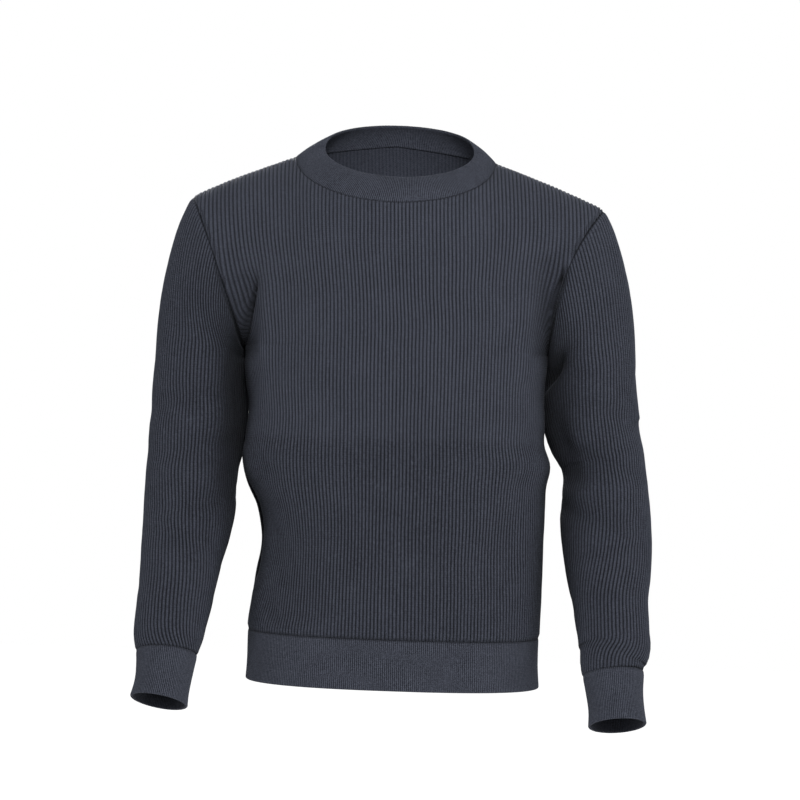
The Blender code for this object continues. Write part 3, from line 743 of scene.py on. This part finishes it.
def capGrid(arm, hand, shares):
    # cubic curves from the armhole ring to the arm's first ring
    tip, _, centre = armholePoints(hand)
    across = np.linalg.norm(tip - centre)
    ring = halfRings(np.array([across]), np.array([float(armhole["front"])]),
                     np.array([float(armhole["back"])]), sleeve["controlColumns"])[0]
    start = centre + ring[:, :1] * unit(tip - centre) + ring[:, 1:] * np.array([0.0, -1.0, 0.0])
    turns = np.arccos(np.clip(ring[:, 0] / across, -1, 1))
    start += np.where(ring[:, 1:] > 0, armholeBow(hand, -1, turns), armholeBow(hand, 1, turns))
    top = ((1 + ring[:, 0] / across) / 2) ** 2
    chord = np.linalg.norm(arm - start, axis=1)
    first = np.stack((hand * sleeve["topArm"][0] * top, -sleeve["underPinch"] * ring[:, 1] * (1 - top),
                      sleeve["topArm"][1] * top - sleeve["underDrop"] * chord * (1 - top)), axis=1)
    last = np.stack((0 * chord, 0 * chord, sleeve["endArm"] * chord), axis=1)
    t = shares[:, None, None]
    return ((1 - t) ** 3 * start + 3 * t * (1 - t) ** 2 * (start + first)
            + 3 * t ** 2 * (1 - t) * (arm + last) + t ** 3 * arm)


def armLift(points, around, folds):
    # depth * exp(-(turn / half around)^2) * exp(-(height off the fold's line / half height)^2)
    lift = np.zeros(points.shape[:-1])
    for height, slope, middle, halfAround, halfHeight, depth in folds:
        turn = (around - middle + 180) % 360 - 180
        off = points[..., 2] - height - slope * turn / 3
        lift += depth * bell(turn, halfAround) * bell(off, halfHeight)
    return lift


def sleeveCloth(arm):
    # base = cap and arm as one control surface + folds along its normal; outer = base + ribs,
    # less the seams' grooves; inner = base - the cloth's wall
    hand = arm["hand"]
    top, end = arm["rings"][0][0], arm["rings"][-1][0]
    half = sleeve["controlColumns"]
    lowerGrid, _ = armGrid(arm, np.linspace(top, end, sleeve["armRows"]), body["trim"], half)
    cap = capGrid(lowerGrid[0], hand, np.linspace(0, 1, sleeve["capRows"] + 1)[:-1])
    control = np.concatenate((cap, lowerGrid))
    rows = len(control)

    # ribs keep their distance from the outer line and end where they meet the underarm seam
    walked = runAlong(control, 1)
    backHalf, frontHalf = walked[:, half], walked[:, -1] - walked[:, half]
    spots = ribColumns(ribKnit, sleeve["ribs"], False)
    behind = ribColumns(ribKnit, sleeve["ribs"] + sleeve["moreBehind"], False)
    signed = np.concatenate((-behind[:0:-1], spots))
    sizes = np.where(signed[None, :] < 0, backHalf[:, None], frontHalf[:, None])
    widest = sleeve["capRows"] + np.argmax(frontHalf[sleeve["capRows"]:])
    ribSize = sizes[widest:widest + 1] / sleeve["ribs"]
    wide = np.where(np.arange(rows)[:, None] <= widest, sizes, ribSize * sleeve["ribs"])
    height = control[:, half, 2:]
    twist = arm["twist"] * (1 - smoothStep(sleeve["twistTo"], sleeve["twistFrom"], height))
    share = np.clip((signed * wide / sleeve["ribs"] + twist) / sizes, -1, 1)
    share[:, 0], share[:, -1] = -1, 1
    ended = np.abs(share) >= 1
    ended[:, 0], ended[:, -1] = False, False
    calm = smoothStep(0, sleeve["calmShare"], 1 - np.abs(share))
    drift = softNoise(rows, len(signed), *sleeve["driftCells"], arm["seed"])
    drift = drift * ribKnit["wander"] / sleeve["steadiness"] * calm
    base = alongRows(control, np.clip((1 + share) * half + drift, 0, 2 * half))
    outward = liveNormals(base, ended)
    around = share * 180
    base = base + outward * armLift(base, around, armFolds + arm["folds"])[..., None]
    base[0] = alongRows(control, (1 + share) * half)[0]
    outward = liveNormals(base, ended)

    down = runAlong(base, 0)
    fromSeam = np.linalg.norm(base - base[:1], axis=2)
    fromCuff = down[-1:] - down
    fromUnder = (1 - np.abs(share)) * sizes
    lift = np.broadcast_to(ribLift(ribKnit, signed), down.shape)
    uneven = softNoise(rows, len(signed), *sleeve["unevenCells"], arm["seed"] + 1)
    lift = lift * (1 + ribKnit["unevenness"] * uneven)
    lift = lift * risenFrom("cap", fromSeam) * risenFrom("wrist", fromCuff)
    near = np.linalg.norm(base - armholePoints(hand)[1], axis=2)
    lift = lift * smoothStep(0, armhole["fade"], near)
    lift = lift - grooveAt("cap", fromSeam) - grooveAt("wrist", fromCuff)
    lift = lift - grooveAt("underarm", fromUnder)
    sunk = sleeve["sink"] * (1 - smoothStep(sleeve["sinkTo"], sleeve["sinkFrom"], base[..., 2]))
    lift = lift - sunk * bell(fromSeam - sleeve["sinkReach"], sleeve["sinkReach"])
    outer = base + outward * lift[..., None]
    step = len(ribKnit["phases"])
    inner = (base - outward * clothWall)[:, ::step]
    inward = unit(armholePoints(hand)[2] - base[0])
    outer[0] = base[0] + inward * sleeve["tuckDeep"] - armholeSquare(hand) * sleeve["tuckUnder"]
    inner[0] = outer[0, ::step] + clothWall * inward[::step]

    # every ended column stands in for its row's own point on the seam
    atSeam = np.abs(share) >= 1
    welds = np.where(atSeam, 0, np.arange(len(signed)))
    weave = np.stack((np.where(atSeam, (np.sign(share) * sizes - twist) / ribSize, signed), down),
                     axis=2)
    return fillWall(arm["name"], outer, inner, step, weave, welds, False)


# Bands: neckband, cuffs and hem, knitted finer and tighter

hemBand = {"name": "hem_band_cloth", "rows": 18, "columns": 60, "seed": 61}
cuffs = {"rows": 14, "columns": 60, "seed": 71, "edge": 1.4, "trim": 0.5}
collar = {
    "name": "collar_cloth", "seed": 81, "rows": 16, "samples": 241,
    "topHalfWidth": 86, "topCentreX": -1, "topCentreY": -8,
    "topFront": 74, "topBack": 69,
    "topHeight": 12, "topFrontDrop": 37, "topBackRise": 35, "topBackPower": 0.8,
    "roll": 3,               # how far the band bows out between its edges
    "tuck": 1.6,             # its start goes under the panels' edge
    "edge": 1.5,
}
edgeRows = {"from": 2.2, "close": (1.0, 0.5, 0.15, 0.0)}    # in radii of the rounded edge


def edgeSpaced(count, length, edge):
    # shares of a length, evenly spaced, with close rows at the end for its rounded edge
    close = length - edge * np.array(edgeRows["close"])
    return np.append(np.linspace(0, length - edgeRows["from"] * edge, count), close) / length


def bandLift(spots, fromSeam, fromEdge, seed, edge):
    # fine ribs with seeded unevenness, less the seam's groove and the rounded free edge
    rows, columnCount = fromSeam.shape
    lift = np.broadcast_to(ribLift(fineKnit, spots), fromSeam.shape)
    uneven = softNoise(rows, columnCount, *fineKnit["unevenCells"], seed)
    lift = lift * (1 + fineKnit["unevenness"] * uneven)
    lift = lift * risenFrom("band", fromSeam)
    return lift - grooveAt("band", fromSeam) - edgeRound(fromEdge, edge)


def bandMesh(name, base, spots, seed, edge, flatten):
    # base: the closed band's surface from its seam to its free edge; outer = base + ribs,
    # inner = base - the band's wall
    outward = outwardFrom(base, gridNormals(base, True))
    if flatten:
        outward[..., 2] = 0.0
        outward = unit(outward)
    down = runAlong(base, 0)
    fromEdge = down[-1:] - down
    lift = bandLift(spots, down, fromEdge, seed, edge)
    outer = base + outward * lift[..., None]
    step = len(fineKnit["phases"])
    inner = base - outward * (fineKnit["wall"] - edgeRound(fromEdge, edge))[..., None]
    wrap = np.append(np.arange(base.shape[1]), 0)
    wrapInner = np.append(np.arange(0, base.shape[1], step), 0)
    weave = np.stack((np.broadcast_to(np.append(spots, spots[-1] + spots[1]), (len(base), len(wrap))),
                      down[:, wrap]), axis=2)
    welds = np.broadcast_to(wrap, (len(base), len(wrap)))
    return fillWall(name, outer[:, wrap], inner[:, wrapInner], step, weave, welds, False)


def bandSpots(length):
    # as many whole fine ribs as fit the length
    return ribColumns(fineKnit, int(round(length / fineKnit["pitch"])), True)


def hemCloth():
    # the body's own rings read on below the hem seam, front and back joined to one loop
    length = body["hemSeam"] - body["hemEnd"]
    heights = body["hemSeam"] - length * edgeSpaced(hemBand["rows"], length, fineKnit["wall"] / 2)
    shares = np.linspace(0, 1, hemBand["columns"] + 1)
    front, back = bodyRows(heights, -1, shares), bodyRows(heights, 1, shares)
    ring = np.concatenate((front, back[:, -2::-1]), axis=1)
    spots = bandSpots(runAlong(ring[:1], 1)[0, -1])
    base = evenly(ring, spots / round(spots[-1] + 0.5))
    base[0, :, 2] -= seamGap / 2
    return bandMesh(hemBand["name"], base, spots, hemBand["seed"], fineKnit["wall"] / 2, True)


def cuffCloth(arm, name):
    # the arm's own rings read on below the wrist seam
    top, end = arm["cuff"][0][0], arm["cuff"][-1][0]
    heights = top + (end - top) * edgeSpaced(cuffs["rows"], top - end, cuffs["edge"])
    ring, along = armGrid(arm, heights, cuffs["trim"], cuffs["columns"])
    ring[0] += along[0] * seamGap
    spots = bandSpots(runAlong(ring[:1], 1)[0, -1])
    base = evenly(ring, spots / round(spots[-1] + 0.5))
    return bandMesh(name, base, spots, cuffs["seed"] + arm["hand"], cuffs["edge"], False)


def collarCloth():
    # straight lines from the neckline to the upper ring, bowed out between the two
    turn = np.linspace(-math.pi / 2, math.pi / 2, collar["samples"])
    sides = []
    for side, turns in ((-1, turn), (1, turn[::-1])):
        deep, across = np.cos(turns), np.sin(turns)
        if side < 0:
            low = (neck["frontDepth"], -neck["frontDrop"] * deep)
            high = (collar["topFront"], -collar["topFrontDrop"] * deep)
        else:
            low = (neck["backDepth"], neck["backRise"] * (deep + 1 - np.abs(across)) / 2)
            high = (collar["topBack"], collar["topBackRise"] * deep ** collar["topBackPower"])
        lower = np.stack((neck["centreX"] + neck["halfWidth"] * across, side * low[0] * deep,
                          low[1]), axis=1)
        upper = np.stack((collar["topCentreX"] + collar["topHalfWidth"] * across,
                          collar["topCentreY"] + side * high[0] * deep,
                          collar["topHeight"] + high[1]), axis=1)
        sides.append(np.concatenate((lower, upper), axis=1)[:-1])
    both = np.concatenate(sides + [sides[0][:1]])[None]
    spots = bandSpots(runAlong(both[..., :3], 1)[0, -1])
    read = evenly(both, spots / round(spots[-1] + 0.5))[0]
    low, high = read[:, :3], read[:, 3:]
    start = low - unit(high - low) * collar["tuck"]
    height = np.linalg.norm(high - start, axis=1).mean()
    shares = edgeSpaced(collar["rows"], height, collar["edge"])[:, None, None]
    outward = outwardFrom(np.array([start, high]), gridNormals(np.array([start, high]), True))[0]
    base = start + (high - start) * shares + outward * (collar["roll"] * 4 * shares * (1 - shares))
    return bandMesh(collar["name"], base, spots, collar["seed"], collar["edge"], False)


# Materials

yarn = {
    "light": (0.068, 0.075, 0.101),
    "dark": (0.012, 0.0135, 0.020),
    "bandLight": (0.079, 0.0865, 0.114),
    "bandDark": (0.016, 0.018, 0.026),
    "ridge": 0.60, "fineRidgeShade": 0.95,    # painted shade: how much darker the grooves' colour is made
    "reach": 0.06,           # metres within which other cloth paints shade into the yarn's colour
    "hollow": 2.5,           # how strong that painted shade is
    "stitch": 2.6,           # mm of rib for each knitted row
    "fineStitch": 2.0,
    "slant": 1.4, "fineSlant": 1.0,      # how far the loops' legs lean, in rows
    "relief": 0.0005, "fineRelief": 0.0003,
    "loopTone": 0.30, "heather": 1.35, "mottle": 0.30,    # shares of the tone
    "even": 0.54, "evenRidgeShade": 0.63,     # taken off so that the mean tone stays in the middle
    "fuzzRelief": 0.35,
    "rough": 0.82, "heatherRough": 0.12,
}


def link(tree, a, b):
    # output a to input b
    tree.links.new(a, b)


def mathNode(tree, operation, a, b=None, c=None):
    # operation(a, b, c), where each is a number or another node's output
    node = tree.nodes.new("ShaderNodeMath")
    node.operation = operation
    for socket, value in zip(node.inputs, (a, b, c)):
        if value is None:
            continue
        if isinstance(value, (int, float)):
            socket.default_value = value
        else:
            link(tree, value, socket)
    return node.outputs[0]


def stitchGroup():
    # knitted loops from the weave map, u the rib number and v the length down it:
    # ridge = sin(pi * phase), loop = |sin(pi * (v / stitch + slant * |phase - 0.5|))|^0.6 and
    # height = loop * (0.4 + 0.6 * |sin(2 * pi * phase)|^0.5), where phase is u's fraction
    tree = bpy.data.node_groups.new("knitStitches", "ShaderNodeTree")
    tree.interface.new_socket("Weave", in_out="INPUT", socket_type="NodeSocketVector")
    for name, value in (("Stitch", 2.6), ("Slant", 1.0)):
        socket = tree.interface.new_socket(name, in_out="INPUT", socket_type="NodeSocketFloat")
        socket.default_value = value
    for name in ("Height", "RidgeShade", "Loop"):
        tree.interface.new_socket(name, in_out="OUTPUT", socket_type="NodeSocketFloat")
    inside, outside = tree.nodes.new("NodeGroupInput"), tree.nodes.new("NodeGroupOutput")
    split = tree.nodes.new("ShaderNodeSeparateXYZ")
    link(tree, inside.outputs["Weave"], split.inputs[0])
    phase = mathNode(tree, "FRACT", split.outputs[0])
    fromMiddle = mathNode(tree, "ABSOLUTE", mathNode(tree, "SUBTRACT", phase, 0.5))
    # ridge is the mask of the grooves' painted shade, 0 in a groove and 1 on a ridge
    ridge = mathNode(tree, "SINE", mathNode(tree, "MULTIPLY", phase, math.pi))
    slanted = mathNode(tree, "MULTIPLY", fromMiddle, inside.outputs["Slant"])
    rows = mathNode(tree, "DIVIDE", split.outputs[1], inside.outputs["Stitch"])
    wave = mathNode(tree, "SINE", mathNode(tree, "MULTIPLY", mathNode(tree, "ADD", rows, slanted),
                                           math.pi))
    loop = mathNode(tree, "POWER", mathNode(tree, "ABSOLUTE", wave), 0.6)
    leg = mathNode(tree, "POWER", mathNode(tree, "ABSOLUTE", mathNode(
        tree, "SINE", mathNode(tree, "MULTIPLY", phase, 2 * math.pi))), 0.5)
    height = mathNode(tree, "MULTIPLY", loop, mathNode(tree, "MULTIPLY_ADD", leg, 0.6, 0.4))
    link(tree, height, outside.inputs["Height"])
    link(tree, ridge, outside.inputs["RidgeShade"])
    link(tree, loop, outside.inputs["Loop"])
    return tree


fibre = {                    # scale and detail of the noise behind each output
    "Height": (1400, 3), "Heather": (520, 2), "Mottle": (22, 3), "Fleck": (300, 0),
}
fleck = {"from": 0.70, "gain": 2.5}    # only the tops of the noise make a fleck


def fuzzGroup():
    # soft fibre: fine noise for the height, heather and larger mottling for the tone
    tree = bpy.data.node_groups.new("yarnFuzz", "ShaderNodeTree")
    tree.interface.new_socket("Place", in_out="INPUT", socket_type="NodeSocketVector")
    for name in fibre:
        tree.interface.new_socket(name, in_out="OUTPUT", socket_type="NodeSocketFloat")
    inside, outside = tree.nodes.new("NodeGroupInput"), tree.nodes.new("NodeGroupOutput")
    for name, (scale, detail) in fibre.items():
        noise = tree.nodes.new("ShaderNodeTexNoise")
        noise.inputs["Scale"].default_value = scale
        noise.inputs["Detail"].default_value = detail
        link(tree, inside.outputs["Place"], noise.inputs["Vector"])
        value = noise.outputs[0]
        if name == "Fleck":
            above = mathNode(tree, "SUBTRACT", value, fleck["from"])
            value = mathNode(tree, "MULTIPLY", mathNode(tree, "MAXIMUM", above, 0.0), fleck["gain"])
        link(tree, value, outside.inputs[name])
    return tree


def knitMaterial(name, light, dark, ridge, stitch, slant, bumpDepth, stepped):
    # a matt yarn, its colour a mix from dark to light by the tone
    material = bpy.data.materials.new(name)
    material.use_nodes = True
    tree = material.node_tree
    shader = tree.nodes["Principled BSDF"]
    shader.inputs["Metallic"].default_value = 0.0
    shader.inputs["Specular IOR Level"].default_value = 0.18
    shader.inputs["Sheen Weight"].default_value = 0.10
    shader.inputs["Sheen Roughness"].default_value = 0.55
    shader.inputs["Sheen Tint"].default_value = (0.62, 0.68, 0.82, 1.0)
    place = tree.nodes.new("ShaderNodeTexCoord")
    weave = tree.nodes.new("ShaderNodeUVMap")
    weave.uv_map = "weave"
    stitches = tree.nodes.new("ShaderNodeGroup")
    stitches.node_tree = groups["stitches"]
    stitches.inputs["Stitch"].default_value = stitch
    stitches.inputs["Slant"].default_value = slant
    link(tree, weave.outputs["UV"], stitches.inputs["Weave"])
    fuzz = tree.nodes.new("ShaderNodeGroup")
    fuzz.node_tree = groups["fuzz"]
    link(tree, place.outputs["Object"], fuzz.inputs["Place"])

    # tone: painted shade makes the grooves darker than the ridges, with heather, mottling and a few
    # light flecks
    tone = mathNode(tree, "MULTIPLY", stitches.outputs["RidgeShade"], ridge)
    tone = mathNode(tree, "MULTIPLY_ADD", stitches.outputs["Loop"], yarn["loopTone"], tone)
    tone = mathNode(tree, "MULTIPLY_ADD", fuzz.outputs["Heather"], yarn["heather"], tone)
    tone = mathNode(tree, "MULTIPLY_ADD", fuzz.outputs["Mottle"], yarn["mottle"], tone)
    tone = mathNode(tree, "ADD", tone, fuzz.outputs["Fleck"])
    tone = mathNode(tree, "SUBTRACT", tone, yarn["even"] + yarn["evenRidgeShade"] * ridge)
    if stepped:
        # above the step: tone * (1 - calm * gain) + raise * gain
        split = tree.nodes.new("ShaderNodeSeparateXYZ")
        link(tree, place.outputs["Object"], split.inputs[0])
        above = tree.nodes.new("ShaderNodeMapRange")
        above.interpolation_type = "SMOOTHSTEP"
        above.inputs["From Min"].default_value = toneStep["height"] - toneStep["blend"]
        above.inputs["From Max"].default_value = toneStep["height"] + toneStep["blend"]
        above.inputs["To Min"].default_value = 0.0
        above.inputs["To Max"].default_value = toneStep["gain"]
        link(tree, split.outputs[2], above.inputs["Value"])
        calm = mathNode(tree, "MULTIPLY_ADD", above.outputs[0], -toneStep["calm"], 1.0)
        raised = mathNode(tree, "MULTIPLY", above.outputs[0], toneStep["raise"])
        tone = mathNode(tree, "MULTIPLY_ADD", tone, calm, raised)
    mix = tree.nodes.new("ShaderNodeMix")
    mix.data_type = "RGBA"
    mix.inputs["A"].default_value = (*dark, 1.0)
    mix.inputs["B"].default_value = (*light, 1.0)
    mix.clamp_factor = True
    link(tree, tone, mix.inputs["Factor"])
    # painted shade: the colour is darkened where other cloth is near, in creases, grooves and between
    # arms and body: colour * (open share)^strength
    aoShade = tree.nodes.new("ShaderNodeAmbientOcclusion")
    aoShade.samples = 6
    aoShade.inputs["Distance"].default_value = yarn["reach"]
    hollow = mathNode(tree, "POWER", aoShade.outputs["AO"], yarn["hollow"])
    shaded = tree.nodes.new("ShaderNodeMix")
    shaded.data_type = "RGBA"
    shaded.blend_type = "MULTIPLY"
    shaded.inputs["Factor"].default_value = 1.0
    link(tree, mix.outputs["Result"], shaded.inputs["A"])
    link(tree, hollow, shaded.inputs["B"])
    link(tree, shaded.outputs["Result"], shader.inputs["Base Color"])
    rough = mathNode(tree, "MULTIPLY_ADD", fuzz.outputs["Heather"], yarn["heatherRough"],
                     yarn["rough"])
    link(tree, rough, shader.inputs["Roughness"])

    height = mathNode(tree, "MULTIPLY_ADD", fuzz.outputs["Height"], yarn["fuzzRelief"],
                      stitches.outputs["Height"])
    bump = tree.nodes.new("ShaderNodeBump")
    bump.inputs["Strength"].default_value = 0.7
    bump.inputs["Distance"].default_value = bumpDepth
    link(tree, height, bump.inputs["Height"])
    link(tree, bump.outputs["Normal"], shader.inputs["Normal"])
    return material


# the panels' colour is lighter and calmer above this height, in metres
toneStep = {"height": -0.322, "blend": 0.006, "gain": 0.17, "calm": 1.7, "raise": 1.85}
groups = {"stitches": stitchGroup(), "fuzz": fuzzGroup()}
materials = {
    "panel": knitMaterial("rib_knit_panel", yarn["light"], yarn["dark"], yarn["ridge"],
                          yarn["stitch"], yarn["slant"], yarn["relief"], True),
    "sleeve": knitMaterial("rib_knit_sleeve", yarn["light"], yarn["dark"], yarn["ridge"],
                           yarn["stitch"], yarn["slant"], yarn["relief"], False),
    "band": knitMaterial("band_knit_fine", yarn["bandLight"], yarn["bandDark"], yarn["fineRidgeShade"],
                         yarn["fineStitch"], yarn["fineSlant"], yarn["fineRelief"], False),
}


# Build: each piece gets its material, goes under the root body, and hides the model part it replaces


def finishPiece(piece, material, node):
    # one material, then what the frame needs to know of the piece
    piece.data.materials.append(materials[material])
    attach(piece, "root")
    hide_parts(node)


print("panels")
finishPiece(panel("front_cloth", -1, frontFolds, frontCreases, 11), "panel", "front")
finishPiece(panel("back_cloth", 1, backFolds, backCreases, 21), "panel", "back")
print("sleeves")
finishPiece(sleeveCloth(rightArm), "sleeve", "sleeve_right")
finishPiece(sleeveCloth(leftArm), "sleeve", "sleeve_left")
print("bands")
finishPiece(cuffCloth(rightArm, "cuff_right_cloth"), "band", "cuff_right")
finishPiece(cuffCloth(leftArm, "cuff_left_cloth"), "band", "cuff_left")
finishPiece(hemCloth(), "band", "hem_band")
finishPiece(collarCloth(), "band", "collar")


# Studio

studio = {
    "floorHeight": -1.42, "floorReach": 9.0,
    "floorColour": (0.86, 0.86, 0.86, 1.0),
    "background": 1.0,       # how white the camera sees the backdrop
    "ambient": 0.07,         # what the backdrop throws back on the cloth
    "lights": (              # name, place, target, size, power in watts
        ("key", (0.4, -3.0, 1.25), (0, 0, -0.25), (1.2, 1.2), 74),
        ("fill", (-0.5, -3.2, 0.4), (0, 0, -0.3), (1.4, 1.4), 13),
        ("side_left", (-2.6, -0.7, 0.2), (0, 0, -0.3), (1.2, 2.0), 12),
        ("side_right", (2.6, -0.7, 0.3), (0, 0, -0.3), (1.2, 2.0), 19),
        ("top", (0, 0.9, 2.1), (0, 0, -0.3), (2.0, 1.4), 8),
        ("back", (-0.5, 3.0, 1.2), (0, 0, -0.3), (1.4, 1.0), 80),
    ),
}


def plainMaterial(name, colour, roughness):
    # one even colour
    material = bpy.data.materials.new(name)
    material.use_nodes = True
    shader = material.node_tree.nodes["Principled BSDF"]
    shader.inputs["Base Color"].default_value = colour
    shader.inputs["Roughness"].default_value = roughness
    return material


def studioFloor():
    # pale paper, as white to the camera as the backdrop so that no edge shows behind the cloth
    reach, low = studio["floorReach"], studio["floorHeight"]
    paper = plainMaterial("studio_paper", studio["floorColour"], 0.9)
    tree = paper.node_tree
    shader = tree.nodes["Principled BSDF"]
    shader.inputs["Emission Color"].default_value = (1.0, 1.0, 1.0, 1.0)
    rays = tree.nodes.new("ShaderNodeLightPath")
    link(tree, rays.outputs["Is Camera Ray"], shader.inputs["Emission Strength"])
    mesh = bpy.data.meshes.new("studio_floor")
    mesh.from_pydata([(-reach, -reach, low), (reach, -reach, low), (reach, reach, low),
                      (-reach, reach, low)], [], [(0, 1, 2, 3)])
    mesh.materials.append(paper)
    floor = bpy.data.objects.new("studio_floor", mesh)
    bpy.context.scene.collection.objects.link(floor)


def softLight(name, place, target, size, power):
    # an area light whose face is turned from its place to its target
    data = bpy.data.lights.new(name, "AREA")
    data.shape = "RECTANGLE"
    data.size, data.size_y = size
    data.energy = power
    light = bpy.data.objects.new(name, data)
    bpy.context.scene.collection.objects.link(light)
    light.location = place
    aim = np.array(target) - np.array(place)
    light.rotation_euler = (math.atan2(math.hypot(aim[0], aim[1]), -aim[2]), 0,
                            math.atan2(-aim[0], aim[1]))


def studioWorld():
    # white to the camera, dimmer as a light
    world = bpy.data.worlds.new("studio_world")
    world.use_nodes = True
    tree = world.node_tree
    background = tree.nodes["Background"]
    background.inputs["Color"].default_value = (1.0, 1.0, 1.0, 1.0)
    rays = tree.nodes.new("ShaderNodeLightPath")
    strength = mathNode(tree, "MULTIPLY_ADD", rays.outputs["Is Camera Ray"],
                        studio["background"] - studio["ambient"], studio["ambient"])
    link(tree, strength, background.inputs["Strength"])
    bpy.context.scene.world = world
    bpy.context.scene.view_settings.view_transform = "Standard"


camera = {
    "place": (0.00928, -3.2, -0.2775),
    "metresAcross": 0.8 * 1.16,      # what the frame spans at the shoulder line
    "roll": 2.0,                     # degrees
    "sensor": 36.0,
}


def studioCamera():
    # level with the middle of the garment and square to it, with the photograph's slight roll;
    # lens = sensor * distance / what the frame spans
    data = bpy.data.cameras.new("studio_camera")
    data.sensor_width = camera["sensor"]
    data.lens = camera["sensor"] * -camera["place"][1] / camera["metresAcross"]
    item = bpy.data.objects.new("studio_camera", data)
    bpy.context.scene.collection.objects.link(item)
    item.location = camera["place"]
    item.rotation_mode = "XYZ"
    item.rotation_euler = (math.pi / 2, -math.radians(camera["roll"]), 0)
    bpy.context.scene.camera = item


print("studio")
studioFloor()
studioWorld()
for light in studio["lights"]:
    softLight(*light)
studioCamera()
